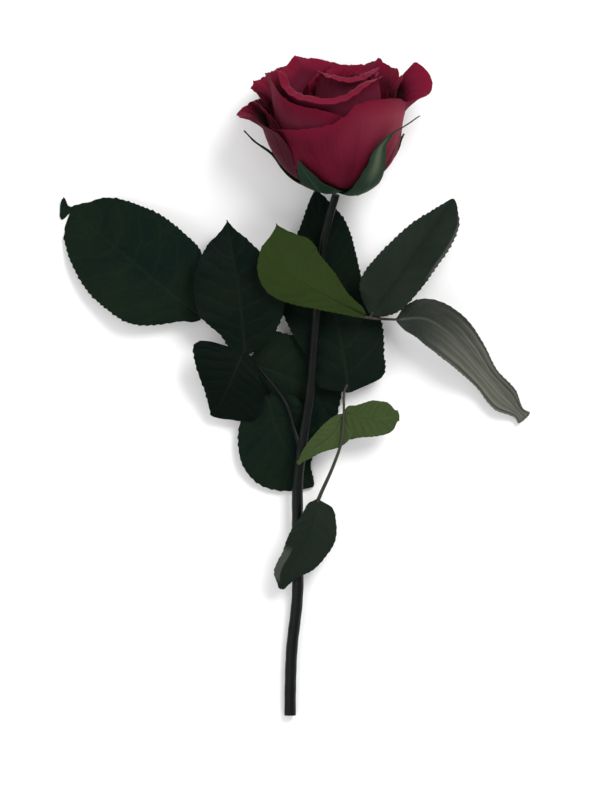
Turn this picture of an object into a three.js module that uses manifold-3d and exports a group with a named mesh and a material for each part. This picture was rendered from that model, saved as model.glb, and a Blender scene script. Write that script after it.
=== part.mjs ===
// A cut red rose lying on its side: one double bloom on a bent neck, a bare lower stem,
// and three compound leaves with serrated leaflets.
// Millimetres, +Z up. The surface that the rose lies on is z = 0, the stem runs along Y
// with the bloom towards +Y, and the leaves spread to both sides along X.
import * as THREE from "three";
import { mergeVertices } from "three/addons/utils/BufferGeometryUtils.js";
import Module from "manifold-3d";

const wasm = await Module();
wasm.setup();

// ---------------------------------------------------------------- driving dimensions
const GAP = 0.35; // clearance between two pieces that touch
const STEM_CUT_RADIUS = 2.6; // at the cut end
const STEM_NECK_RADIUS = 1.75; // just under the bloom
const STALK_RADIUS = 0.95; // a leaf stalk where it leaves the stem
const STALK_TIP_RADIUS = 0.6;
const LEAF_THICKNESS = 0.7;
const MIDRIB_DEPTH = 0.7; // how far the midrib stands out under a leaflet
const PETAL_THICKNESS = 0.7;
const PETAL_PRESS = 0.1; // how much thinner a petal gets where the bloom lies on it
const TOOTH = 0.55; // depth of the teeth of a leaf margin

const BLOOM_BASE = [18.4, 91.6, 21.4]; // where the petals spring from
const BLOOM_TILT = 18; // degrees that the mouth of the bloom is raised above level
const BLOOM_LEAN = 1; // degrees that the bloom leans towards -X
const HIP_LENGTH = 4.4; // the green swelling under the petals
const HIP_RADIUS = 5.4;
const HEART_SWAY = 3.4; // how far the heart stands off the axis of the bloom, towards +X

// ---------------------------------------------------------------- small helpers
const v3 = (x, y, z) => new THREE.Vector3(x, y, z);
const rad = THREE.MathUtils.degToRad;
const lerp = THREE.MathUtils.lerp;
const smooth = THREE.MathUtils.smoothstep;
const curveThrough = (points) =>
  new THREE.CatmullRomCurve3(points.map((p) => v3(...p)), false, "centripetal");

// A BufferGeometry from a list of points and a list of triangles.
function meshFrom(points, triangles) {
  const geometry = new THREE.BufferGeometry();
  geometry.setAttribute(
    "position",
    new THREE.Float32BufferAttribute(points.flatMap((p) => [p.x, p.y, p.z]), 3),
  );
  geometry.setIndex(triangles.flat());
  return geometry;
}

// The normal of a grid of points at row i, column j.
function gridNormal(grid, i, j) {
  const rows = grid.length;
  const columns = grid[0].length;
  const along = grid[Math.min(i + 1, rows - 1)][j].clone().sub(grid[Math.max(i - 1, 0)][j]);
  const across = grid[i][Math.min(j + 1, columns - 1)]
    .clone()
    .sub(grid[i][Math.max(j - 1, 0)]);
  return along.cross(across).normalize();
}

// A closed blade: a grid of points thickened along its normals.
// above(i, j) and below(i, j) say how far each face stands from the grid.
// Both faces are split along the same diagonal, so a waved blade never crosses itself.
function blade(grid, above, below) {
  const rows = grid.length;
  const columns = grid[0].length;
  const points = [];
  for (const [side, depth] of [[1, above], [-1, below]]) {
    grid.forEach((row, i) =>
      row.forEach((p, j) =>
        points.push(p.clone().addScaledVector(gridNormal(grid, i, j), side * depth(i, j))),
      ),
    );
  }
  const top = (i, j) => i * columns + j;
  const bottom = (i, j) => (rows + i) * columns + j;
  const triangles = [];
  const quad = (a, b, c, d) => triangles.push([a, b, c], [a, c, d]);
  for (let i = 0; i < rows - 1; i++) {
    for (let j = 0; j < columns - 1; j++) {
      quad(top(i, j), top(i + 1, j), top(i + 1, j + 1), top(i, j + 1));
      triangles.push(
        [bottom(i, j), bottom(i + 1, j + 1), bottom(i + 1, j)],
        [bottom(i, j), bottom(i, j + 1), bottom(i + 1, j + 1)],
      );
    }
  }
  const m = rows - 1;
  const n = columns - 1;
  for (let i = 0; i < m; i++) {
    quad(top(i + 1, 0), top(i, 0), bottom(i, 0), bottom(i + 1, 0));
    quad(top(i, n), top(i + 1, n), bottom(i + 1, n), bottom(i, n));
  }
  for (let j = 0; j < n; j++) {
    quad(top(0, j), top(0, j + 1), bottom(0, j + 1), bottom(0, j));
    quad(top(m, j + 1), top(m, j), bottom(m, j), bottom(m, j + 1));
  }
  return meshFrom(points, triangles);
}

// A round rod along a curve, closed at both ends. radiusAt(t) gives its radius.
function rod(curve, radiusAt, rings, sides) {
  const frames = curve.computeFrenetFrames(rings, false);
  const points = [];
  for (let i = 0; i <= rings; i++) {
    const centre = curve.getPointAt(i / rings);
    for (let k = 0; k < sides; k++) {
      const a = (2 * Math.PI * k) / sides;
      const r = radiusAt(i / rings);
      points.push(
        centre
          .clone()
          .addScaledVector(frames.normals[i], r * Math.cos(a))
          .addScaledVector(frames.binormals[i], r * Math.sin(a)),
      );
    }
  }
  const triangles = [];
  const at = (i, k) => i * sides + (k % sides);
  for (let i = 0; i < rings; i++) {
    for (let k = 0; k < sides; k++) {
      triangles.push(
        [at(i, k), at(i, k + 1), at(i + 1, k + 1)],
        [at(i, k), at(i + 1, k + 1), at(i + 1, k)],
      );
    }
  }
  for (let k = 1; k < sides - 1; k++) {
    triangles.push([at(0, 0), at(0, k + 1), at(0, k)]);
    triangles.push([at(rings, 0), at(rings, k), at(rings, k + 1)]);
  }
  return meshFrom(points, triangles);
}

// A manifold-3d solid from a closed geometry, and back.
function solidFrom(geometry) {
  const bare = geometry.clone();
  bare.deleteAttribute("normal");
  bare.deleteAttribute("uv");
  const merged = mergeVertices(bare, 1e-4);
  return new wasm.Manifold(
    new wasm.Mesh({
      numProp: 3,
      vertProperties: merged.attributes.position.array,
      triVerts: new Uint32Array(merged.index.array),
    }),
  );
}

function geometryFrom(solid) {
  const mesh = solid.getMesh();
  const geometry = new THREE.BufferGeometry();
  geometry.setAttribute("position", new THREE.BufferAttribute(mesh.vertProperties, 3));
  geometry.setIndex(new THREE.BufferAttribute(mesh.triVerts, 1));
  return geometry;
}

// The largest body of a solid, so that a scrap left by a cut is dropped.
function largestBody(solid) {
  const bodies = solid.decompose();
  return bodies.reduce((a, b) => (b.volume() > a.volume() ? b : a));
}

// A piece that touches the surface it lies on is pressed flat there.
const pressed = (geometry) =>
  geometryFrom(largestBody(solidFrom(geometry).trimByPlane([0, 0, 1], 0)));

const united = (geometries) =>
  geometryFrom(largestBody(geometries.map(solidFrom).reduce((a, b) => a.add(b))));

// ---------------------------------------------------------------- materials
const finish = (color, roughness) =>
  new THREE.MeshStandardMaterial({ color, roughness, metalness: 0 });
const petalRed = finish(0x8e1030, 0.55);
const stemGreen = finish(0x26301f, 0.5);
const leafGreen = finish(0x163424, 0.4);
const leafUnderside = finish(0x5c8234, 0.6);
const leafDried = finish(0x7d8a78, 0.75);
const calyxGreen = finish(0x2f5638, 0.55);

const rose = new THREE.Group();
function addNode(parent, name, geometry, material) {
  geometry.computeBoundingBox();
  const flat = geometry.boundingBox.min.z < 0 ? pressed(geometry) : geometry;
  const mesh = new THREE.Mesh(flat, material);
  mesh.name = name;
  parent.add(mesh);
  return mesh;
}

// ---------------------------------------------------------------- stem
// The line of the stem, from the cut end to the underside of the hip.
const stemLine = curveThrough([
  [-2.7, -147.8, 2.45],
  [-2.7, -136, 2.9],
  [-2.2, -118, 3.6],
  [-0.4, -96, 4.9],
  [0.9, -77.5, 6.2],
  [0.7, -59.5, 7.6],
  [0.9, -41.5, 8.9],
  [3.2, -23.5, 10.0],
  [5.9, -5.5, 11.0],
  [7.7, 12.5, 11.8],
  [9.0, 30.5, 12.6],
  [10.8, 48.5, 13.6],
  [12.4, 65.5, 15.4],
  [14.5, 74, 16.8],
  [16.6, 81.6, 18.5],
  [18.1, 86.8, 19.7],
]);
// A stem is a little thicker at each node, where a leaf stalk leaves it.
const NODE_PLACES = [0.335, 0.505, 0.775]; // shares of the stem's length
function stemRadius(t) {
  const swelling = NODE_PLACES.reduce((sum, n) => sum + Math.exp(-(((t - n) / 0.012) ** 2)), 0);
  return lerp(STEM_CUT_RADIUS, STEM_NECK_RADIUS, smooth(t, 0.3, 1)) + 0.35 * swelling;
}
const stemRod = solidFrom(rod(stemLine, stemRadius, 48, 10));
addNode(rose, "stem", geometryFrom(stemRod), stemGreen);

// ---------------------------------------------------------------- leaf stalks
// Each compound leaf hangs on one stalk, which leaves the stem at a node.
const STALKS = {
  left: [
    [1.8, -27, 10.0],
    [-0.6, -19, 9.6],
    [-3.4, -9.5, 9.4],
    [-6.4, -4, 9.5],
    [-14.9, 6.5, 10.5],
    [-24.6, 17.4, 11.6],
    [-33.5, 25.2, 10.4],
    [-41.4, 30.6, 8.8],
  ],
  right: [
    [9.9, 38.9, 13.4],
    [18.5, 35.6, 15.4],
    [26, 32.8, 15.6],
    [33.5, 31.2, 14.8],
    [44.4, 30.5, 12.8],
  ],
  low: [
    [1.3, -70, 7.2],
    [6.6, -59.5, 10.6],
    [10.8, -49, 13.2],
    [16.6, -36, 15.8],
    [20.5, -24.5, 16.6],
    [21.6, -12, 14],
    [21.8, -2.2, 9.6],
  ],
};
const stalkRadius = (t) => lerp(STALK_RADIUS, STALK_TIP_RADIUS, t);
const stalkSolids = {};
for (const [side, points] of Object.entries(STALKS)) {
  const solid = solidFrom(rod(curveThrough(points), stalkRadius, 12, 8));
  stalkSolids[side] = solid;
}
// A stalk starts on the bark of the stem, with a clearance of GAP.
const stemAllowance = solidFrom(rod(stemLine, (t) => stemRadius(t) + GAP, 48, 10));
for (const [side, solid] of Object.entries(stalkSolids)) {
  const trimmed = largestBody(solid.subtract(stemAllowance));
  addNode(rose, `leaf_stalk_${side}`, geometryFrom(trimmed), stemGreen);
}

// ---------------------------------------------------------------- leaflets
// line: points of the midrib, from base to tip.
// left, right: how far the margin stands from the midrib in plan, at five even stations on the
// way from base to tip. lift: degrees that the left and the right half rise from level.
// wave: height of the margin's waves. tip: half width at the very end. tooth: depth of the teeth.
// underside: the pale underside is turned up. The dried leaflet has folded up and wrinkled.
const LEAFLETS = {
  left_tip: {
    line: [
      [-42.6, 31.2, 8.4],
      [-61.7, 46.6, 10.6],
      [-82.4, 63.7, 7.4],
      [-98.6, 77, 1.6],
      [-103.2, 80.4, 0.15],
      [-104.6, 85.4, 2.4],
    ],
    left: [12.2, 20.4, 23.3, 23.2, 20, 14, 4.6],
    right: [15.5, 23.6, 25, 25.2, 22.6, 16, 2],
    lift: [-2, 5],
    wave: 0.9,
  },
  left_upper: {
    line: [[-25.2, 19.2, 13.6], [-24.8, 35, 17.2], [-27.4, 55, 17.6], [-31, 75.2, 12.0]],
    left: [10.6, 18.6, 19.3, 16.6, 9.8],
    right: [14.6, 18.0, 18.3, 14.2, 7.2],
    lift: [6, 8],
    wave: 1.0,
  },
  left_lower: {
    line: [[-23.6, 16.2, 13], [-27.6, 6.6, 14.4], [-32.2, -3.4, 12], [-37.4, -13.4, 6.4]],
    left: [8.8, 14.4, 16.8, 17, 14],
    right: [19.6, 18.6, 14.6, 10, 5.5],
    lift: [-6, 8],
    wave: 0.8,
    tip: 1.5,
  },
  inner_upper: {
    line: [[-15.6, 7.4, 8.4], [-5, 5, 4.6], [7, -0.5, 3.0], [19.2, -13.5, 2.4]],
    left: [16.6, 19.4, 19.4, 13, 5],
    right: [10, 14, 14, 10.5, 5],
    lift: [0, 0],
    wave: 0.5,
  },
  inner_lower: {
    line: [[-12.6, -3.4, 8.4], [-9.4, -17, 6.4], [-2.2, -32, 4.4], [7.9, -44.8, 1.6]],
    left: [11, 13.6, 13, 10, 5.5],
    right: [13.4, 18, 19.4, 17.4, 11],
    lift: [2, 0],
    wave: 0.5,
  },
  right_front: {
    line: [[31.2, 32.4, 16.8], [12.4, 42.4, 23.6], [-3, 53.4, 26.4], [-8.8, 73.6, 24.4]],
    left: [4.6, 8, 11.5, 15, 10.5],
    right: [5, 10, 13.6, 14.2, 8],
    lift: [-6, -10],
    wave: 0.5,
    tooth: 0.35,
    underside: true,
  },
  right_upper: {
    line: [[33.9, 32.6, 15.4], [46.2, 48.8, 19.4], [58.6, 67.2, 17.8], [71.2, 85, 10.6]],
    left: [13.0, 13.4, 11.2, 8.6, 4.6],
    right: [8.2, 9.6, 10, 10.2, 8],
    lift: [26, 30],
    wave: 0.9,
  },
  right_tip: {
    line: [
      [45.3, 30.4, 12.4],
      [58, 31, 13.8],
      [68, 25.4, 12.4],
      [76.4, 17, 10.4],
      [85, 7, 6.6],
      [95, -4.5, 2.6],
      [103.4, -14, 0.2],
    ],
    left: [9.2, 9.5, 7.5, 5.7, 4.3],
    right: [8.2, 9, 8, 8, 7],
    lift: [34, 30],
    wave: 1.5,
    tip: 2.4,
    dried: true,
  },
  low_tip: {
    line: [[23.5, -0.2, 9.4], [20.2, 22, 8.4], [14.5, 46, 8.4], [11.4, 68, 9.4], [9, 88.6, 11.4]],
    left: [15.8, 20.5, 21, 16, 8],
    right: [19, 19.4, 15.6, 13.5, 10],
    lift: [-3, -4],
    wave: 0.6,
  },
  low_right: {
    line: [[22.9, -18.4, 17.4], [30.5, -16, 19.0], [38.4, -13.8, 17.4], [46.2, -12, 12.6]],
    left: [8.8, 9, 8.6, 7.8, 5.8],
    right: [6.4, 6.8, 7.2, 7.2, 6],
    lift: [6, -6],
    wave: 0.4,
    tip: 2,
    tooth: 0.2,
    underside: true,
  },
  low_left: {
    line: [[19.6, -20.6, 18.0], [13, -23.4, 19.4], [6.6, -28.2, 18], [0.9, -33.6, 14.8]],
    left: [5.4, 5.4, 4, 2.6, 2],
    right: [5.2, 5.2, 4.4, 3.8, 3],
    lift: [4, 4],
    wave: 0.3,
    tip: 1,
    tooth: 0.2,
    underside: true,
  },
  low_hanging: {
    line: [[10.2, -50.8, 14.8], [8, -62, 17], [3, -73.4, 16], [-2.6, -82, 13], [-6.5, -90, 9]],
    left: [8.4, 10.3, 9.3, 7.5, 4.4],
    right: [5.6, 8.2, 8.4, 6.4, 5],
    lift: [-14, 30],
    wave: 0.7,
    tip: 1.2,
    tooth: 0.3,
  },
};
const LEAF_ROWS = 20;
const LEAF_COLUMNS = [-1, -0.5, 0, 0.5, 1];
const LEAF_BASE = 0.8; // half width where a leaflet leaves its stalk

// The margin's distance from the midrib after the share t of the leaflet's length.
function marginCurve(stations, tip = 0.5) {
  const step = 1 / (stations.length + 1);
  const points = [[0, LEAF_BASE], [0.3 * step, 0.56 * stations[0]]];
  stations.forEach((reach, k) => points.push([(k + 1) * step, reach]));
  points.push([1 - 0.3 * step, 0.42 * stations.at(-1)], [1, tip]);
  return (t) => {
    const k = Math.max(1, points.findIndex(([at]) => t <= at));
    const [[t0, y0], [t1, y1]] = [points[k - 1], points[k]];
    const before = points[k - 2] ?? points[k - 1];
    const after = points[k + 1] ?? points[k];
    const slope0 = (y1 - before[1]) / (t1 - before[0]);
    const slope1 = (after[1] - y0) / (after[0] - t0);
    const f = (t - t0) / (t1 - t0);
    const width = t1 - t0;
    return (
      (2 * f ** 3 - 3 * f ** 2 + 1) * y0 +
      (f ** 3 - 2 * f ** 2 + f) * width * slope0 +
      (3 * f ** 2 - 2 * f ** 3) * y1 +
      (f ** 3 - f ** 2) * width * slope1
    );
  };
}

function leafGrid({ line, left, right, lift, wave, tip, tooth = TOOTH }) {
  const midrib = curveThrough(line);
  const margins = [marginCurve(left, tip), marginCurve(right, tip)];
  const broad = Math.max(...left, ...right);
  const grid = [];
  for (let i = 0; i <= LEAF_ROWS; i++) {
    const t = i / LEAF_ROWS;
    const centre = midrib.getPointAt(t);
    const ahead = midrib.getTangentAt(t);
    const aside = v3(ahead.y, -ahead.x, 0).normalize();
    const up = aside.clone().cross(ahead).normalize();
    const notch = i % 2 ? 0 : tooth;
    grid.push(
      LEAF_COLUMNS.map((c) => {
        const half = c < 0 ? 0 : 1;
        const margin = margins[half](t);
        const bite = Math.abs(c) === 1 ? notch * Math.min(1, margin / 6) : 0;
        const reach = Math.abs(c) * margin - bite;
        const rise = reach * Math.tan(rad(lift[half]) * smooth(t, 0, 0.12));
        const ripple = Math.sin(2 * Math.PI * (2.2 * t + (half ? 0.15 : 0.6)));
        return centre
          .clone()
          .addScaledVector(aside, Math.sign(c) * reach)
          .addScaledVector(up, rise + (wave * c * c * ripple * margin) / broad);
      }),
    );
  }
  return grid;
}

function leafGeometry(leaflet) {
  const grid = leafGrid(leaflet);
  const middle = (LEAF_COLUMNS.length - 1) / 2;
  const plain = () => LEAF_THICKNESS / 2;
  const ribbed = (i, j) =>
    LEAF_THICKNESS / 2 + (j === middle ? MIDRIB_DEPTH * (1 - i / LEAF_ROWS) : 0);
  // The grid runs from left to right, so its own normal points down.
  return leaflet.underside ? blade(grid, plain, ribbed) : blade(grid, ribbed, plain);
}

for (const [name, leaflet] of Object.entries(LEAFLETS)) {
  const material = leaflet.underside ? leafUnderside : leaflet.dried ? leafDried : leafGreen;
  addNode(rose, `leaflet_${name}`, leafGeometry(leaflet), material);
}

// ---------------------------------------------------------------- bloom
// The bloom has its own frame: its axis is upright in it, and -Y is the side seen from above.
const bloomFrame = new THREE.Matrix4()
  .makeRotationZ(rad(BLOOM_LEAN))
  .multiply(new THREE.Matrix4().makeRotationX(rad(BLOOM_TILT - 90)))
  .setPosition(...BLOOM_BASE);
// A point of the bloom, from its radius, its turn in degrees and its height.
// Turn 0 is the side seen from above, and 90 is towards +X.
const inBloom = (r, turn, h, sway = 0) =>
  v3(
    r * Math.sin(rad(turn)) + sway * (h / 50) ** 2,
    -r * Math.cos(rad(turn)),
    h,
  ).applyMatrix4(bloomFrame);

// The value of a list of even stations at x from -1 to 1.
function along(stations, x) {
  const place = ((x + 1) / 2) * (stations.length - 1);
  const k = Math.min(Math.floor(place), stations.length - 2);
  return lerp(stations[k], stations[k + 1], smooth(place - k, 0, 1));
}

// The line of a petal from its foot to the length s, as radius, height and angle.
// The petal leaves its foot at the angle open from the axis and steepens to the angle top
// over the length bowl. At the rim it rolls outwards by roll degrees over the length lip.
function petalLine([foot, open, bowl, top], s, length, lip, roll) {
  const steps = 24;
  const step = s / steps;
  let [r, h] = foot;
  let angle = rad(open);
  for (let k = 0; k < steps; k++) {
    const at = (k + 0.5) * step;
    const bowled = top + (open - top) * Math.exp(-((at / bowl) ** 1.6));
    angle = rad(bowled + roll * smooth(at, length - lip, length - 0.25 * lip));
    r += Math.sin(angle) * step;
    h += Math.cos(angle) * step;
  }
  return [r, h, angle];
}

// A point of a petal: u from foot to rim, v from one edge to the other.
function petalPoint(petal, u, v) {
  const [cornerAt, cornerReach] = petal.corner ?? [0, 0];
  const corner = cornerReach * Math.exp(-(((v - cornerAt) / 0.16) ** 2));
  const length = petal.length * (along(petal.rim, v) - 0.07 * v ** 8) + corner;
  const s = u * length;
  const [r, h, angle] = petalLine(
    petal.shape, s, length, along(petal.lip, v), along(petal.roll, v),
  );
  const share = s / petal.length;
  const spread = (0.3 + 0.7 * smooth(share, 0, 0.5)) * (1 - 0.1 * smooth(u, 0.75, 1) * v * v);
  // Where two petals overlap, one edge stands outside the other.
  const layer = along(petal.layer, v) * smooth(share, 0.08, 0.4);
  const ruffle = petal.ruffle * smooth(u, 0.7, 1) * Math.sin(7.5 * v + petal.turn);
  const shift = layer + ruffle;
  const point = inBloom(
    r + shift * Math.cos(angle),
    petal.turn + petal.half * spread * v,
    h - shift * Math.sin(angle),
    petal.sway,
  );
  // The surface that the rose lies on flattens the lowest petals.
  point.z = Math.max(point.z, PETAL_THICKNESS / 2 - PETAL_PRESS);
  return point;
}

const PETAL_ROWS = [0, 0.11, 0.25, 0.41, 0.57, 0.7, 0.79, 0.86, 0.93, 1];
function petalGeometry(petal, columns) {
  const grid = PETAL_ROWS.map((u) => {
    const row = [];
    for (let j = 0; j <= columns; j++) {
      row.push(petalPoint(petal, u, (2 * j) / columns - 1));
    }
    return row;
  });
  const half = () => PETAL_THICKNESS / 2;
  return blade(grid, half, half);
}

// turn: where the petal stands. half: its half width in degrees.
// rim: its length at five stations across, as a share. layer: how far its two edges and its
// middle stand outside the whorl.
const GUARD = [[6.4, 0.6], 85, 18.3, 9];
const MIDDLE = [[5.0, 2.2], 78, 15.6, 6];
const INNER = [[4.2, 3.4], 66, 12.5, 1];
const TIGHT = [[3.2, 4.6], 56, 10, 0];
const PETALS = {
  guard_front: {
    shape: GUARD, turn: 17, half: 67, length: 61, layer: [1.9, 0.7, 0.5], ruffle: 0.4,
    rim: [0.8, 0.86, 0.93, 1.02, 1.06], lip: [8, 8, 8, 9, 13], roll: [8, 20, 22, 28, 80],
  },
  guard_left: {
    shape: [[6.4, 0.6], 85, 18.3, 12.5], turn: -86, half: 46, length: 59,
    layer: [1.2, 0, -1.9], ruffle: 0.6,
    rim: [0.86, 0.96, 0.99, 0.94, 0.84], lip: [12, 15, 16, 13, 8], roll: [60, 84, 96, 46, 4],
    corner: [0, 4],
  },
  guard_right: {
    shape: GUARD, turn: 106, half: 42, length: 62, layer: [-1.2, 0, 1.2], ruffle: 0.5,
    rim: [0.9, 0.97, 1, 0.98, 0.8], lip: [8, 14, 19, 17, 12], roll: [0, 34, 58, 44, 40],
    corner: [0.45, 4.5],
  },
  guard_back_left: {
    shape: GUARD, turn: -132, half: 42, length: 60, layer: [1.2, 0, -1.2], ruffle: 1.0,
    rim: [0.82, 0.94, 0.98, 0.98, 0.9], lip: [10, 14, 14, 14, 10], roll: [50, 70, 74, 60, 8],
  },
  guard_back: {
    shape: GUARD, turn: 176, half: 46, length: 58, layer: [-1.2, -0.4, -1.2], ruffle: 0.5,
    rim: [0.84, 0.96, 0.98, 0.96, 0.84], lip: [8, 10, 10, 10, 8], roll: [2, 30, 44, 22, 0],
  },
  middle_low: {
    shape: [[5.6, 1.4], 82, 17.0, 8], turn: -42, half: 63, length: 62, layer: [0, 0, 0],
    ruffle: 0.3, rim: [0.97, 0.98, 0.93, 0.88, 0.86], lip: [10, 8, 8, 8, 8],
    roll: [56, 40, 30, 30, 20],
  },
  middle_front: {
    shape: MIDDLE, turn: -37, half: 57, length: 68, layer: [0, 0.3, 0.6], ruffle: 0.3,
    rim: [0.86, 0.92, 0.95, 0.97, 0.95], lip: [6, 9, 10, 11, 11],
    roll: [16, 70, 100, 110, 116],
  },
  middle_right: {
    shape: MIDDLE, turn: 92, half: 50, length: 65, layer: [-1, 0, 1], ruffle: 1.0,
    rim: [0.9, 1, 0.99, 0.95, 0.84], lip: [8, 10, 11, 11, 8], roll: [20, 60, 66, 66, 40],
  },
  middle_back_right: {
    shape: MIDDLE, turn: 148, half: 46, length: 60, layer: [-1.6, 0, -1], ruffle: 0.4,
    rim: [0.9, 0.98, 0.94, 0.92, 0.86], lip: [6, 8, 8, 8, 6], roll: [0, 16, 40, 20, 0],
    corner: [-0.2, 3],
  },
  middle_back_left: {
    shape: MIDDLE, turn: -146, half: 48, length: 61, layer: [1, 0, -1], ruffle: 0.4,
    rim: [0.88, 0.94, 0.96, 0.94, 0.86], lip: [6, 8, 8, 8, 6], roll: [30, 50, 50, 40, 0],
    corner: [0.15, 3],
  },
  middle_left: {
    shape: [[4.6, 2.8], 74, 14, 5], turn: -84, half: 46, length: 60, layer: [-1, 0, -1],
    ruffle: 0.3, rim: [0.88, 0.94, 0.96, 0.94, 0.84], lip: [6, 7, 7, 7, 6],
    roll: [20, 36, 36, 36, 20],
  },
  inner_front: {
    shape: INNER, turn: 8, half: 62, length: 50, layer: [0.9, 0.6, 0.9], ruffle: 0.3,
    rim: [0.96, 0.96, 0.96, 0.96, 0.96], lip: [6, 6, 6, 6, 6], roll: [10, 20, 20, 20, 10],
    sway: 0.5 * HEART_SWAY,
  },
  inner_right: {
    shape: INNER, turn: 126, half: 62, length: 55, layer: [-0.9, 0, 0.9], ruffle: 0.3,
    rim: [0.86, 0.98, 1, 0.98, 0.92], lip: [5, 6, 7, 6, 5], roll: [10, 40, 50, 40, 20],
    sway: 0.5 * HEART_SWAY,
  },
  inner_left: {
    shape: INNER, turn: -112, half: 62, length: 55, layer: [-0.9, 0, -0.9], ruffle: 0.3,
    rim: [0.92, 0.98, 1, 0.98, 0.86], lip: [5, 6, 7, 6, 5], roll: [0, 40, 50, 40, 10],
    sway: 0.5 * HEART_SWAY,
  },
  tight_front: {
    shape: TIGHT, turn: 14, half: 70, length: 54, layer: [0.8, 0.4, 0.8], ruffle: 0.2,
    rim: [0.98, 1, 0.97, 1, 0.98], lip: [5, 7, 8, 7, 5], roll: [20, 60, 70, 60, 20],
    sway: HEART_SWAY,
  },
  tight_right: {
    shape: TIGHT, turn: 132, half: 66, length: 52, layer: [-0.8, 0, 0.8], ruffle: 0.2,
    rim: [0.94, 1, 1, 1, 0.94], lip: [4, 5, 6, 5, 4], roll: [0, 20, 50, 40, 20],
    sway: HEART_SWAY,
  },
  tight_left: {
    shape: TIGHT, turn: -108, half: 66, length: 52, layer: [-0.8, 0, -0.8], ruffle: 0.2,
    rim: [0.94, 1, 1, 1, 0.94], lip: [4, 5, 6, 5, 4], roll: [0, 30, 50, 30, 0],
    sway: HEART_SWAY,
  },
};
for (const [name, petal] of Object.entries(PETALS)) {
  addNode(rose, `petal_${name}`, petalGeometry(petal, 8), petalRed);
}

// The heart: a core with small petals wound tightly round it, grown together at the foot.
const coreLine = curveThrough([5.6, 20, 33, 45].map((h) => inBloom(0, 0, h, HEART_SWAY).toArray()));
const core = rod(coreLine, (t) => 2.6 - 1.6 * t ** 3, 8, 10);
const loose = { ruffle: 0.15, rim: [0.92, 1, 1, 1, 0.92], lip: [4, 5, 5, 5, 4] };
const heartPetal = (foot, open, bowl, turn, half, length, twist, roll) =>
  petalGeometry({
    ...loose,
    shape: [foot, open, bowl, 0],
    turn,
    half,
    length,
    layer: [-twist, 0, twist],
    roll: [0, roll, roll, roll, 0],
    sway: HEART_SWAY,
  }, 6);
const heartPetals = [];
for (let k = 0; k < 3; k++) {
  heartPetals.push(heartPetal([1.6, 6.6], 52, 7.4, 70 + 120 * k, 74, 49 + k, 0.9, 40));
  heartPetals.push(heartPetal([1.2, 6.6], 46, 5.2, 10 + 120 * k, 78, 48 + k, 0.8, 30));
}
heartPetals.push(heartPetal([0.8, 6.6], 34, 3.8, 120, 100, 47.5, 0.5, 24));
addNode(rose, "heart", united([core, ...heartPetals]), petalRed);

// ---------------------------------------------------------------- calyx
// A hip and five pointed sepals. A sepal clings to the guard petals for the length cling,
// and then runs free through points given as radius, turn and height.
const SEPAL_STANDOFF = 2.5; // from the middle of a guard petal to the middle of a sepal
const SEPALS = {
  front_left: { turn: -33, cling: 31, free: [], wide: [4.8, 6.4, 6.6, 4.4, 1.0] },
  left: {
    turn: -95,
    cling: 18,
    free: [[29.2, -94, 14.4], [36.4, -94, 20.2], [41.8, -94, 25.8]],
    wide: [4.8, 4.8, 4, 2.6, 1.8, 1.1, 0.7],
  },
  right_front: {
    turn: 40,
    cling: 36,
    free: [[38.5, 46, 34.4], [46, 53, 41]],
    wide: [4.8, 6.2, 5.6, 4, 2.6, 1.6, 1.1, 0.7],
  },
  right: { turn: 104, cling: 33, free: [], wide: [4.8, 5.2, 4.2, 2.6, 0.8] },
  back: { turn: 172, cling: 17, free: [], wide: [4.8, 5, 3.4, 0.9] },
};
const SEPAL_ROWS = 11;
function sepalGeometry({ turn, cling, free, wide }) {
  const line = [inBloom(4.2, turn, -1.5).toArray()];
  for (let k = 0; k < 5; k++) {
    const s = lerp(5, cling, k / 4);
    const [r, h, angle] = petalLine(GUARD, s, 100, 1, 0);
    const standoff = SEPAL_STANDOFF * smooth(s, -4, 5);
    line.push(
      inBloom(
        r + standoff * Math.cos(angle),
        turn,
        h - standoff * Math.sin(angle),
      ).toArray(),
    );
  }
  line.push(...free.map(([r, at, h]) => inBloom(r, at, h).toArray()));
  const spine = curveThrough(line);
  const base = inBloom(0, 0, 0);
  const upward = inBloom(0, 0, 1).sub(base);
  const grid = [];
  for (let i = 0; i <= SEPAL_ROWS; i++) {
    const t = i / SEPAL_ROWS;
    const centre = spine.getPointAt(t);
    const ahead = spine.getTangentAt(t);
    const outward = centre.clone().sub(base);
    outward.addScaledVector(upward, -outward.dot(upward));
    const radius = Math.max(outward.length(), 14);
    const aside = upward.clone().cross(outward).normalize();
    const inward = ahead.clone().cross(aside).normalize();
    const half = along(wide, 2 * t - 1);
    grid.push(
      [-1, -0.5, 0, 0.5, 1].map((c) =>
        centre
          .clone()
          .addScaledVector(aside, c * half)
          .addScaledVector(inward, (c * half) ** 2 / (2 * radius)),
      ),
    );
  }
  const thin = () => LEAF_THICKNESS / 2;
  return blade(grid, thin, thin);
}
const hip = rod(
  new THREE.LineCurve3(inBloom(0, 0, -HIP_LENGTH), inBloom(0, 0, -0.1)),
  (t) => lerp(STEM_NECK_RADIUS + 0.2, HIP_RADIUS, smooth(t, 0, 0.75)),
  6,
  16,
);
const calyx = united([hip, ...Object.values(SEPALS).map(sepalGeometry)]);
addNode(rose, "calyx", calyx, calyxGreen);

// The frame: centred in plan over the surface that the rose lies on.
const bounds = new THREE.Box3().setFromObject(rose);
rose.position.set(
  -(bounds.min.x + bounds.max.x) / 2,
  -(bounds.min.y + bounds.max.y) / 2,
  -bounds.min.z,
);

export default rose;
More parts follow.
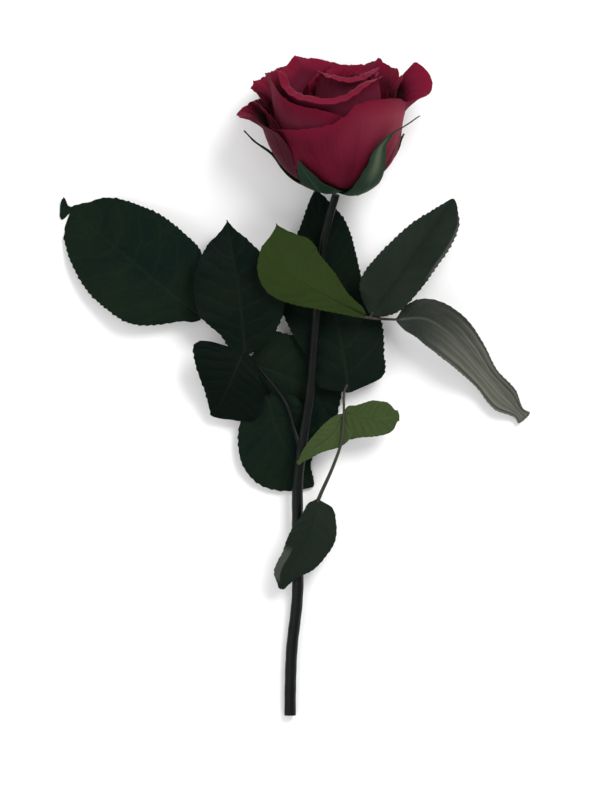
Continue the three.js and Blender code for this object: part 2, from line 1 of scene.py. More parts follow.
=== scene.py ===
# %% [markdown]
# # A cut red rose, lying on its side
#
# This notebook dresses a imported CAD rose: one double bloom on a bent neck, three compound
# leaves and a bare lower stem. The CAD solids fix where everything is. Here each of them is
# replaced by a finer sheet or rod that follows the same line, and gets a finish of its own.
#
# The frame comes first. Its node boxes are in metres, the rose lies on z = 0, the stem runs
# along Y with the bloom towards +Y, and the leaves spread along X.

import math

import bpy
import numpy as np
from mathutils import Matrix, Vector, noise


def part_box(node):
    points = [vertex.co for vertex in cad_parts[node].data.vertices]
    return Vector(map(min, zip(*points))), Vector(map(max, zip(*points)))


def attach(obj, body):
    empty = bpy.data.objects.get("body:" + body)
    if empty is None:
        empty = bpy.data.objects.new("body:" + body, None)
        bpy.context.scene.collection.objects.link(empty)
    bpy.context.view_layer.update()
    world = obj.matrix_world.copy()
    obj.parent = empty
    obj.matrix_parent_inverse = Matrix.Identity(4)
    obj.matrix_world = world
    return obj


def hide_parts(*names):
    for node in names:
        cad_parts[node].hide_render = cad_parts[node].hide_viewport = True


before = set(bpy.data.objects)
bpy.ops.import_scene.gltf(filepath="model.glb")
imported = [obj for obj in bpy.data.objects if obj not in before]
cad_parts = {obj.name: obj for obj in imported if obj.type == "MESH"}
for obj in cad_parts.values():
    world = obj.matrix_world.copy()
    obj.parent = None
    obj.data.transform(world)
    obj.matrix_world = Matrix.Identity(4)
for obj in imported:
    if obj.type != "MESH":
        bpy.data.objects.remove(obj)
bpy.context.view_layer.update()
BODY = "root"

# %% [markdown]
# ## Drawing helpers
#
# A rose is made of two kinds of surface only: thin sheets (leaflets, petals, sepals) and
# round rods (stem, stalks). Both start here as a grid primitive. Its vertices are then laid
# on the wanted surface, and the sheet is given its thickness by a Solidify modifier. All
# sizes are in millimetres until the very last moment, as on a maker's drawing.

# %% Small functions of numbers
MM = 0.001


def smooth(x, low, high):
    """0 before low, 1 after high, and a smooth step between them."""
    f = np.clip((np.asarray(x, float) - low) / (high - low), 0, 1)
    return f * f * (3 - 2 * f)


def mix(a, b, f):
    return a + (b - a) * f


def along(stations, x):
    """The value at x, from -1 to 1, of a list of even stations, with a smooth step between two."""
    stations = np.asarray(stations, float)
    place = (np.asarray(x, float) + 1) / 2 * (len(stations) - 1)
    k = np.clip(np.floor(place).astype(int), 0, len(stations) - 2)
    return mix(stations[k], stations[k + 1], smooth(place - k, 0, 1))


def unit(vectors):
    return vectors / np.maximum(np.linalg.norm(vectors, axis=-1, keepdims=True), 1e-9)


def waver(x, seed, scale=1.0):
    """Smooth noise from -1 to 1 along x."""
    flat = np.ravel(np.asarray(x, float))
    values = [noise.noise(Vector((scale * v, 7.3 * seed, 1.7 * seed))) for v in flat]
    return 2 * np.reshape(values, np.shape(x))


# %% A smooth line through points
class Line:
    """A centripetal curve through points in mm, read by its share of length."""

    def __init__(self, points, steps=40):
        p = np.asarray(points, float)
        p = np.vstack([2 * p[0] - p[1], p, 2 * p[-1] - p[-2]])
        dense = []
        for k in range(1, len(p) - 2):
            gaps = [max(np.linalg.norm(p[k + j] - p[k + j - 1]) ** 0.5, 1e-4) for j in (0, 1, 2)]
            before = (p[k] - p[k - 1]) / gaps[0] - (p[k + 1] - p[k - 1]) / (gaps[0] + gaps[1])
            after = (p[k + 2] - p[k + 1]) / gaps[2] - (p[k + 2] - p[k]) / (gaps[1] + gaps[2])
            chord = (p[k + 1] - p[k]) / gaps[1]
            start, end = (before + chord) * gaps[1], (after + chord) * gaps[1]
            f = (np.arange(steps) / steps)[:, None]
            dense.append(
                (2 * f**3 - 3 * f**2 + 1) * p[k]
                + (f**3 - 2 * f**2 + f) * start
                + (3 * f**2 - 2 * f**3) * p[k + 1]
                + (f**3 - f**2) * end
            )
        self.points = np.vstack([*dense, p[-2:-1]])
        lengths = np.linalg.norm(np.diff(self.points, axis=0), axis=1)
        self.places = np.concatenate([[0], np.cumsum(lengths)])
        self.length = self.places[-1]

    def at(self, share):
        s = np.asarray(share, float) * self.length
        return np.stack([np.interp(s, self.places, self.points[:, k]) for k in range(3)], -1)

    def ahead(self, share):
        share = np.asarray(share, float)
        reach = 0.004
        return unit(self.at(np.minimum(share + reach, 1)) - self.at(np.maximum(share - reach, 0)))


print("a line through three points is", round(Line([(0, 0, 0), (5, 2, 0), (9, 0, 1)]).length, 2), "mm")

# %% [markdown]
# ## From a grid to a piece
#
# `grid_object` adds a grid primitive and lays it on a surface, and `thicken` gives a sheet
# its thickness.
# `rod_piece` rolls the same kind of grid round a line, welds the seam and closes the ends.
# The grid's UV map then runs along each piece, so that veins can follow it.


# %% Add a grid primitive and lay its vertices on a surface
def clean_selection():
    if bpy.context.object and bpy.context.object.mode != "OBJECT":
        bpy.ops.object.mode_set(mode="OBJECT")
    bpy.ops.object.select_all(action="DESELECT")


def grid_object(name, surface):
    """A grid primitive whose rows and columns lie on surface, an array of rows by columns."""
    rows, columns = surface.shape[:2]
    clean_selection()
    bpy.ops.mesh.primitive_grid_add(x_subdivisions=columns - 1, y_subdivisions=rows - 1, size=1)
    piece = bpy.context.object
    piece.name = name
    piece.data.name = name
    placed = (surface + part_shift) * MM
    piece.data.vertices.foreach_set("co", placed.reshape(-1).astype(np.float32))
    piece.data.update()
    return piece


part_shift = np.zeros(3)


# %% Attributes, modifiers and shading
def store(piece, name, values):
    """Keeps one number for each vertex, which the materials read back by name."""
    attribute = piece.data.attributes.new(name, "FLOAT", "POINT")
    attribute.data.foreach_set("value", np.ravel(values).astype(np.float32))


def apply_modifier(piece, kind, **settings):
    clean_selection()
    piece.select_set(True)
    bpy.context.view_layer.objects.active = piece
    modifier = piece.modifiers.new(kind.title(), kind)
    for key, value in settings.items():
        setattr(modifier, key, value)
    bpy.ops.object.modifier_apply(modifier=modifier.name)


def shade(piece, degrees=50):
    clean_selection()
    piece.select_set(True)
    bpy.context.view_layer.objects.active = piece
    bpy.ops.object.shade_smooth_by_angle(angle=math.radians(degrees))


def thicken(piece, thickness, share, offset=0.0):
    """Gives a sheet its thickness in mm. share says, for each vertex, how much of it is left."""
    group = piece.vertex_groups.new(name="thickness")
    for index, weight in enumerate(np.ravel(share)):
        group.add([index], float(weight), "REPLACE")
    apply_modifier(
        piece,
        "SOLIDIFY",
        thickness=thickness * MM,
        offset=offset,
        vertex_group=group.name,
        thickness_vertex_group=0.0,
        material_offset=1,
        use_rim=True,
    )
    piece.vertex_groups.clear()


# %% Weld, close and join in edit mode
WELD_DISTANCE = 1e-6


def in_edit_mode(piece, *steps):
    clean_selection()
    piece.select_set(True)
    bpy.context.view_layer.objects.active = piece
    bpy.ops.object.mode_set(mode="EDIT")
    bpy.ops.mesh.select_all(action="SELECT")
    for step in steps:
        step()
    bpy.ops.object.mode_set(mode="OBJECT")


def rod_piece(name, surface):
    """Rolls a grid into a rod: its first and last column are the same line."""
    piece = grid_object(name, surface)
    in_edit_mode(
        piece,
        lambda: bpy.ops.mesh.remove_doubles(threshold=WELD_DISTANCE),
        lambda: bpy.ops.mesh.select_all(action="DESELECT"),
        lambda: bpy.ops.mesh.select_non_manifold(extend=False),
        lambda: bpy.ops.mesh.fill_holes(sides=0),
        lambda: bpy.ops.mesh.select_all(action="SELECT"),
        lambda: bpy.ops.mesh.normals_make_consistent(inside=False),
    )
    return piece


def join(name, pieces):
    clean_selection()
    for piece in pieces:
        piece.select_set(True)
    bpy.context.view_layer.objects.active = pieces[0]
    bpy.ops.object.join()
    pieces[0].name = name
    pieces[0].data.name = name
    return pieces[0]


# %% Hand a finished piece to the frame
made = []


def finish_piece(piece, slot_name, *replaced):
    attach(piece, BODY)
    if replaced:
        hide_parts(*replaced)
    made.append(piece)
    return piece


def report(title, pieces):
    faces = sum(len(p.data.polygons) for p in pieces)
    print(f"{title}: {len(pieces)} pieces, {faces} faces")

# %% [markdown]
# ## Finishes
#
# Plants are coloured by what lies in their skin: veins, streaks, blotches, a paler margin.
# Petals and leaves also carry some painted light and shade.
# The effects that several finishes use are node groups. They put out plain numbers between
# 0 and 1, or a height, and each finish mixes its own colours with them.


# %% Node helpers
def add_node(tree, kind, **inputs):
    """Adds a node. Keywords that name a socket set it or link it, others set a property."""
    node = tree.nodes.new(kind)
    for key, value in inputs.items():
        socket = node.inputs.get(key.replace("_", " "))
        if socket is None:
            setattr(node, key, value)
        elif isinstance(value, bpy.types.NodeSocket):
            tree.links.new(value, socket)
        else:
            socket.default_value = value
    return node


def math_node(tree, operation, a, b=0.0, clamp=False):
    node = tree.nodes.new("ShaderNodeMath")
    node.operation = operation
    node.use_clamp = clamp
    for socket, value in zip(node.inputs, (a, b)):
        if isinstance(value, bpy.types.NodeSocket):
            tree.links.new(value, socket)
        else:
            socket.default_value = value
    return node.outputs[0]


def blend_colours(tree, factor, first, second):
    """Mixes two colours, each a socket or an (r, g, b)."""
    node = tree.nodes.new("ShaderNodeMix")
    node.data_type = "RGBA"
    for name, value in (("Factor", factor), ("A", first), ("B", second)):
        socket = [s for s in node.inputs if s.name == name and s.enabled][0]
        if isinstance(value, bpy.types.NodeSocket):
            tree.links.new(value, socket)
        elif name == "Factor":
            socket.default_value = value
        else:
            socket.default_value = (*value, 1)
    return [s for s in node.outputs if s.enabled][0]


def read_attribute(tree, name):
    return add_node(tree, "ShaderNodeAttribute", attribute_name=name).outputs["Fac"]


def stretch(tree, value, low, high, to_low=0.0, to_high=1.0):
    node = add_node(tree, "ShaderNodeMapRange", clamp=True)
    for name, number in (("From Min", low), ("From Max", high), ("To Min", to_low), ("To Max", to_high)):
        node.inputs[name].default_value = number
    tree.links.new(value, node.inputs["Value"])
    return node.outputs["Result"]


def new_group(name, inputs, outputs):
    group = bpy.data.node_groups.new(name, "ShaderNodeTree")
    for label, default in inputs:
        socket = group.interface.new_socket(label, in_out="INPUT", socket_type="NodeSocketFloat")
        socket.default_value = default
    for label in outputs:
        group.interface.new_socket(label, in_out="OUTPUT", socket_type="NodeSocketFloat")
    return group, group.nodes.new("NodeGroupInput"), group.nodes.new("NodeGroupOutput")


def place_group(tree, group, **values):
    node = tree.nodes.new("ShaderNodeGroup")
    node.node_tree = group
    for label, value in values.items():
        node.inputs[label].default_value = value
    return node


# %% Streaks that run along a piece
def make_streaks():
    """Fine lines along the UV map: Across is how many fit across the piece."""
    group, given, result = new_group("streaks", [("Across", 30.0), ("Along", 2.0), ("Seed", 0.0)], ["Value"])
    uv = add_node(group, "ShaderNodeTexCoord").outputs["UV"]
    parts = add_node(group, "ShaderNodeSeparateXYZ", Vector=uv)
    across = math_node(group, "MULTIPLY", parts.outputs["X"], given.outputs["Across"])
    ahead = math_node(group, "MULTIPLY", parts.outputs["Y"], given.outputs["Along"])
    place = add_node(group, "ShaderNodeCombineXYZ", X=across, Y=ahead, Z=given.outputs["Seed"])
    grain = add_node(group, "ShaderNodeTexNoise", Vector=place.outputs[0], Scale=1.0, Detail=3.0)
    group.links.new(stretch(group, grain.outputs["Fac"], 0.3, 0.7), result.inputs["Value"])
    return group


# %% Blotches that lie in space
def make_blotches():
    """Soft blotches of a size in metres, the same from every side."""
    group, given, result = new_group("blotches", [("Per Metre", 80.0), ("Seed", 0.0)], ["Value"])
    place = add_node(group, "ShaderNodeTexCoord").outputs["Object"]
    grain = add_node(group, "ShaderNodeTexNoise", noise_dimensions="4D", Vector=place, Detail=4.0)
    group.links.new(given.outputs["Per Metre"], grain.inputs["Scale"])
    group.links.new(given.outputs["Seed"], grain.inputs["W"])
    group.links.new(stretch(group, grain.outputs["Fac"], 0.32, 0.68), result.inputs["Value"])
    return group


# %% The net of fine cells in a leaf or petal
def make_cells():
    """Small cells with sunken seams, as a height from 0 to 1."""
    group, given, result = new_group("cells", [("Per Metre", 900.0)], ["Height"])
    place = add_node(group, "ShaderNodeTexCoord").outputs["Object"]
    cells = add_node(group, "ShaderNodeTexVoronoi", feature="DISTANCE_TO_EDGE", Vector=place)
    group.links.new(given.outputs["Per Metre"], cells.inputs["Scale"])
    group.links.new(stretch(group, cells.outputs["Distance"], 0.0, 0.25), result.inputs["Height"])
    return group


streaks, blotches, cells = make_streaks(), make_blotches(), make_cells()
print("node groups:", [g.name for g in bpy.data.node_groups])


# %% A new finish, with the values that are the same all over set on the shader itself
def new_finish(name, **values):
    material = bpy.data.materials.new(name)
    material.use_nodes = True
    shader = material.node_tree.nodes["Principled BSDF"]
    for label, value in values.items():
        shader.inputs[label.replace("_", " ")].default_value = value
    return material, material.node_tree, shader


def link_bump(tree, shader, height, distance, strength=1.0):
    bump = add_node(tree, "ShaderNodeBump", Height=height, Distance=distance, Strength=strength)
    tree.links.new(bump.outputs["Normal"], shader.inputs["Normal"])


# %% [markdown]
# ### Petals
#
# The inside of a petal is velvety and deep red. Its outside is duller, with fine veins that fan
# out to the rim. Velvet is a soft sheen over a rough base. The two sides of a sheet get a
# finish each, through the Solidify modifier's material offset.
#
# Where the colour changes along a petal is stored on its vertices: "rim" runs from foot to
# lip, where the lip gets a painted highlight. One attribute holds a painted sheen on the upper
# right of the front petal, one a painted fill light that lifts the shade low in the cup, and
# one the painted shadow in a crease where one petal overlaps another.


# %% The two sides of a petal
# Painted sheen: a pale pink that lightens the upper right of the front petal, where the light falls.
PAINTED_SHEEN_COLOUR = (0.205, 0.028, 0.046)
# Painted fill light: a paler red that lifts the shade low in the cup of the inner petals.
PAINTED_HOLLOW_LIGHT_COLOUR = (0.15, 0.024, 0.048)
# Painted shadow: the dark that falls in a crease, where one petal overlaps another.
PAINTED_CREASE_SHADOW_COLOUR = (0.03, 0.006, 0.012)


def petal_finish(name, deep, bright, lip_highlight_colour, roughness, sheen, seed):
    material, tree, shader = new_finish(
        name,
        Roughness=roughness,
        Sheen_Weight=sheen,
        Sheen_Roughness=0.45,
        Sheen_Tint=(1.0, 0.3, 0.4, 1),
        Specular_IOR_Level=0.02,
    )
    veins = place_group(tree, streaks, Across=70.0, Along=2.2, Seed=seed).outputs[0]
    broad = place_group(tree, streaks, Across=9.0, Along=1.6, Seed=seed + 4).outputs[0]
    patches = place_group(tree, blotches, **{"Per Metre": 60.0, "Seed": seed}).outputs[0]
    tone = math_node(tree, "MULTIPLY", broad, 0.45)
    tone = math_node(tree, "ADD", tone, math_node(tree, "MULTIPLY", veins, 0.3))
    tone = math_node(tree, "ADD", tone, math_node(tree, "MULTIPLY", patches, 0.25), clamp=True)
    body = blend_colours(tree, tone, deep, bright)
    # Painted sheen on the upper right of the front petal.
    with_painted_sheen = blend_colours(tree, read_attribute(tree, "painted_sheen"), body, PAINTED_SHEEN_COLOUR)
    # Painted highlight: the lip is brightened, as if it caught the light.
    rim = stretch(tree, read_attribute(tree, "rim"), 0.84, 1.0)
    with_lip_highlight = blend_colours(tree, rim, with_painted_sheen, lip_highlight_colour)
    # Painted fill light lifts the shade low in each petal's cup.
    with_painted_hollow_light = blend_colours(tree, read_attribute(tree, "painted_hollow_light"), with_lip_highlight, PAINTED_HOLLOW_LIGHT_COLOUR)
    # Painted shadow in the crease along an overlapped petal edge.
    colour = blend_colours(tree, read_attribute(tree, "painted_crease_shadow"), with_painted_hollow_light, PAINTED_CREASE_SHADOW_COLOUR)
    tree.links.new(colour, shader.inputs["Base Color"])
    skin = place_group(tree, cells, **{"Per Metre": 1500.0}).outputs[0]
    height = math_node(tree, "ADD", math_node(tree, "MULTIPLY", skin, 0.15), veins)
    link_bump(tree, shader, height, 0.00012, 0.6)
    return material


# The third colour of each petal finish is the painted highlight on the lips.
petal_outer = petal_finish(
    "petal_outer", (0.049, 0.0022, 0.009), (0.108, 0.0062, 0.0195), (0.115, 0.005, 0.018), 0.62, 0.05, 1.0
)
petal_inner = petal_finish(
    "petal_inner", (0.058, 0.003, 0.012), (0.1, 0.0045, 0.018), (0.136, 0.0055, 0.02), 0.5, 0.035, 2.0
)
print("finishes:", petal_outer.name, petal_inner.name)


# %% [markdown]
# ### Leaves, stem and sepals
#
# A rose leaf is dark and slightly waxy above and pale and matt below. Its veins are stored on
# the vertices while the leaf is shaped, so that colour and relief fall in the same place.
# "pale" is stored as well, for a dried fold or a dusty leaf, and a painted shade darkens the
# leaves that lie in shadow.


# %% Leaf finishes
# Painted shade: the leaves that lie in shadow are darkened towards this colour.
PAINTED_LEAF_SHADE_COLOUR = (0.0006, 0.0024, 0.0020)


def leaf_finish(name, dark, light, vein_colour, pale_colour, roughness, specular, vein_share, seed):
    material, tree, shader = new_finish(name, Specular_IOR_Level=specular)
    patches = place_group(tree, blotches, **{"Per Metre": 45.0, "Seed": seed}).outputs[0]
    specks = place_group(tree, blotches, **{"Per Metre": 700.0, "Seed": seed + 3}).outputs[0]
    tone = math_node(tree, "MULTIPLY", patches, 0.7)
    tone = math_node(tree, "ADD", tone, math_node(tree, "MULTIPLY", specks, 0.3), clamp=True)
    body = blend_colours(tree, tone, dark, light)
    # Painted shade on the leaves that lie in shadow.
    body = blend_colours(tree, read_attribute(tree, "painted_leaf_shade"), body, PAINTED_LEAF_SHADE_COLOUR)
    body = blend_colours(tree, read_attribute(tree, "pale"), body, pale_colour)
    vein = math_node(tree, "MULTIPLY", read_attribute(tree, "vein"), vein_share, clamp=True)
    tree.links.new(blend_colours(tree, vein, body, vein_colour), shader.inputs["Base Color"])
    rough = stretch(tree, patches, 0.0, 1.0, roughness - 0.08, roughness + 0.08)
    tree.links.new(rough, shader.inputs["Roughness"])
    net = place_group(tree, cells, **{"Per Metre": 1100.0}).outputs[0]
    link_bump(tree, shader, net, 0.0001, 0.5)
    return material


GREY_FOLD = (0.055, 0.06, 0.052)
leaf_upper = leaf_finish(
    "leaf_upper",
    dark=(0.0012, 0.0064, 0.0050),
    light=(0.0068, 0.0128, 0.0066),
    vein_colour=(0.013, 0.019, 0.011),
    pale_colour=GREY_FOLD,
    roughness=0.5,
    specular=0.03,
    vein_share=0.42,
    seed=1.0,
)
leaf_under = leaf_finish(
    "leaf_under",
    dark=(0.0135, 0.026, 0.0045),
    light=(0.019, 0.033, 0.0065),
    vein_colour=(0.024, 0.037, 0.012),
    pale_colour=(0.03, 0.045, 0.01),
    roughness=0.6,
    specular=0.05,
    vein_share=0.5,
    seed=5.0,
)
leaf_pale = leaf_finish(
    "leaf_pale",
    dark=(0.028, 0.045, 0.013),
    light=(0.039, 0.06, 0.019),
    vein_colour=(0.066, 0.09, 0.035),
    pale_colour=(0.05, 0.07, 0.026),
    roughness=0.6,
    specular=0.05,
    vein_share=0.6,
    seed=6.0,
)
leaf_grey = leaf_finish(
    "leaf_grey",
    dark=(0.016, 0.02, 0.0175),
    light=(0.034, 0.038, 0.032),
    vein_colour=(0.2, 0.2, 0.165),
    pale_colour=(0.125, 0.127, 0.102),
    roughness=0.7,
    specular=0.06,
    vein_share=0.6,
    seed=9.0,
)


# %% Stem, stalk and sepal finishes
def bark_finish(name, dark, light, roughness, across, seed):
    material, tree, shader = new_finish(name, Roughness=roughness, Specular_IOR_Level=0.11)
    lines = place_group(tree, streaks, Across=across, Along=9.0, Seed=seed).outputs[0]
    patches = place_group(tree, blotches, **{"Per Metre": 120.0, "Seed": seed}).outputs[0]
    tone = math_node(tree, "MULTIPLY", lines, 0.5)
    tone = math_node(tree, "ADD", tone, math_node(tree, "MULTIPLY", patches, 0.5), clamp=True)
    tree.links.new(blend_colours(tree, tone, dark, light), shader.inputs["Base Color"])
    link_bump(tree, shader, lines, 0.00008, 0.7)
    return material


stem_bark = bark_finish("stem_bark", (0.0002, 0.0008, 0.0007), (0.0042, 0.0060, 0.0050), 0.34, 14.0, 1.0)
stalk_bark = bark_finish("stalk_bark", (0.02, 0.02, 0.014), (0.05, 0.046, 0.034), 0.55, 6.0, 4.0)
cut_wood = bark_finish("cut_wood", (0.05, 0.055, 0.03), (0.16, 0.15, 0.09), 0.8, 5.0, 7.0)
sepal_outer = leaf_finish(
    "sepal_outer",
    dark=(0.005, 0.017, 0.010),
    light=(0.011, 0.03, 0.015),
    vein_colour=(0.04, 0.07, 0.035),
    pale_colour=(0.07, 0.085, 0.052),
    roughness=0.55,
    specular=0.08,
    vein_share=0.4,
    seed=12.0,
)
sepal_inner = leaf_finish(
    "sepal_inner",
    dark=(0.03, 0.05, 0.03),
    light=(0.05, 0.08, 0.05),
    vein_colour=(0.08, 0.1, 0.06),
    pale_colour=(0.06, 0.08, 0.05),
    roughness=0.75,
    specular=0.08,
    vein_share=0.6,
    seed=14.0,
)
print("finishes so far:", sorted(m.name for m in bpy.data.materials if m.use_nodes))

# %% [markdown]
# ## The stem
#
# The stem is one long rod, a little thicker at each node, where a leaf stalk leaves it. A
# cylinder primitive could be bent along a curve modifier, but the swellings and the fluting
# of the bark are easier to lay on a rolled grid, ring by ring.

# %% The line and the thickness of the stem
STEM_LINE = Line(
    [
        (-2.7, -148.2, 2.45),
        (-2.6, -136, 2.9),
        (-1.9, -118, 3.6),
        (0.5, -96, 4.9),
        (0.9, -77.5, 6.2),
        (0.7, -59.5, 7.6),
        (0.9, -41.5, 8.9),
        (3.2, -23.5, 10.0),
        (5.9, -5.5, 11.0),
        (7.7, 12.5, 11.8),
        (9.0, 30.5, 12.6),
        (10.8, 48.5, 13.6),
        (12.4, 65.5, 15.4),
        (14.5, 74, 16.8),
        (16.6, 81.6, 18.5),
        (18.1, 86.8, 19.7),
    ]
)
STEM_CUT_RADIUS = 2.6
STEM_NECK_RADIUS = 1.75
NODE_PLACES = (0.335, 0.505, 0.775)


def stem_radius(share):
    swelling = sum(np.exp(-(((share - n) / 0.012) ** 2)) for n in NODE_PLACES)
    return mix(STEM_CUT_RADIUS, STEM_NECK_RADIUS, smooth(share, 0.3, 1)) + 0.35 * swelling


# %% Lay rings round a line
def rings_round(line, radius, rings, sides, relief=None):
    """Rings by sides + 1 points round a line. relief(share, turn) is added to the radius."""
    share = np.linspace(0, 1, rings)
    turn = np.linspace(0, 2 * np.pi, sides + 1)
    centre, ahead = line.at(share), line.ahead(share)
    aside = unit(np.cross(ahead, (0, 0, 1)))
    upward = np.cross(aside, ahead)
    reach = np.broadcast_to(np.asarray(radius(share))[:, None], (rings, sides + 1)).copy()
    if relief is not None:
        reach += relief(share[:, None], turn[None, :])
    ring = aside[:, None] * np.cos(turn)[None, :, None] + upward[:, None] * np.sin(turn)[None, :, None]
    return centre[:, None] + reach[..., None] * ring


def bark_relief(share, turn):
    flutes = 0.05 * np.cos(5 * turn + 3 * share) + 0.03 * np.cos(9 * turn - 5 * share)
    return flutes + 0.04 * np.sin(160 * share + 2 * np.sin(turn))


# %% Find where the CAD part's own frame lies, from the box of its stem
stem_surface = rings_round(STEM_LINE, stem_radius, 420, 32, bark_relief)
own_box = stem_surface.reshape(-1, 3)
cad_box = [np.array(corner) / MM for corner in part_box("stem")]
part_shift[:2] = ((cad_box[0] + cad_box[1]) / 2 - (own_box.min(0) + own_box.max(0)) / 2)[:2]
print("the part is shifted by", part_shift.round(2), "mm")


# %% Make the stem, its cut face and the stalks
def set_finishes(piece, *finishes):
    for finish in finishes:
        piece.data.materials.append(finish)


def flatten_below(surface, floor=0.02):
    """What lies on the table is pressed flat there."""
    surface[..., 2] = np.maximum(surface[..., 2], floor)
    return surface


CUT_END = -148 * MM


def make_stem():
    stem = rod_piece("rose_stem", flatten_below(stem_surface))
    set_finishes(stem, stem_bark, cut_wood)
    for face in stem.data.polygons:
        if len(face.vertices) > 4 and face.center.y < CUT_END:
            face.material_index = 1
    shade(stem)
    return finish_piece(stem, "stem", "stem")


stem = make_stem()
report("stem", [stem])

# %% [markdown]
# ### Leaf stalks
#
# Each compound leaf hangs on one thin stalk. It widens into a small cushion where it leaves
# the stem, and a short side stalk joins each leaflet to it.

# %% The lines of the stalks
STALKS = {
    "left": [
        (1.8, -27, 10.0),
        (-0.6, -19, 9.6),
        (-3.4, -9.5, 9.4),
        (-6.4, -4, 9.5),
        (-14.9, 6.5, 10.5),
        (-24.6, 17.4, 11.6),
        (-33.5, 25.2, 10.4),
        (-41.4, 30.6, 8.8),
        (-44.0, 32.3, 8.5),
    ],
    "right": [
        (9.9, 38.9, 13.4),
        (18.5, 35.6, 15.4),
        (26, 32.8, 15.6),
        (33.5, 31.2, 14.8),
        (44.4, 30.5, 12.8),
        (46.6, 30.5, 12.6),
    ],
    "low": [
        (1.3, -70, 7.2),
        (6.6, -59.5, 10.6),
        (10.8, -49, 13.2),
        (16.6, -36, 15.8),
        (20.5, -24.5, 16.6),
        (21.6, -12, 14),
        (21.8, -2.2, 9.6),
        (23.2, 1.2, 9.3),
    ],
}
SIDE_STALKS = {
    "left": [
        [(-21.0, 13.4, 11.3), (-22.2, 13.4, 12.0), (-22.9, 15.6, 12.8)],
        [(-21.6, 14.2, 11.4), (-23.0, 15.6, 12.4), (-24.2, 14.6, 12.9)],
        [(-18.8, 11.0, 10.9), (-19.0, 10.4, 9.9), (-18.2, 9.0, 8.7)],
        [(-8.6, -1.4, 9.7), (-10.4, -2.0, 9.0), (-12.0, -3.8, 8.3)],
    ],
    "right": [
        [(29.6, 32.0, 15.3), (30.8, 32.2, 16.2), (29.8, 33.4, 17.3)],
        [(33.0, 31.4, 14.9), (33.8, 32.2, 15.1), (34.8, 34.0, 15.7)],
    ],
    "low": [
        [(21.4, -10.8, 13.85), (22.4, -11.4, 13.75), (23.6, -12.0, 13.6)],
        [(21.6, -11.6, 13.8), (21.2, -12.4, 13.4), (20.6, -13.8, 13.2)],
        [(8.6, -54.2, 11.8), (9.4, -52.4, 13.4), (10.1, -51.4, 14.8)],
    ],
}


# %% Make the stalks
def stalk_radius(share):
    cushion = 0.9 * np.exp(-share / 0.05)
    return mix(0.95, 0.55, smooth(share, 0, 1)) + cushion


def side_radius(share):
    return 0.45 + 0.25 * (2 * np.asarray(share) - 1) ** 2


def make_stalk(side):
    main = Line(STALKS[side])
    rods = [rod_piece("stalk", rings_round(main, stalk_radius, 160, 16))]
    for k, points in enumerate(SIDE_STALKS[side]):
        rods.append(rod_piece(f"side_{k}", rings_round(Line(points), side_radius, 24, 12)))
    for rod in rods:
        set_finishes(rod, stem_bark if side == "left" else stalk_bark)
    stalk = join(f"stalk_{side}", rods)
    shade(stalk)
    return finish_piece(stalk, "stem", f"leaf_stalk_{side}")


stalks = [make_stalk(side) for side in STALKS]
report("stalks", stalks)

# %% [markdown]
# ## The leaflets
#
# A leaflet is a sheet with a sawn margin. Its midrib is a line in space, its outline is
# measured at a few stations on each side, and the two halves rise or fall from the midrib.
# Between the side veins the sheet bulges a little, and the midrib stands out underneath.

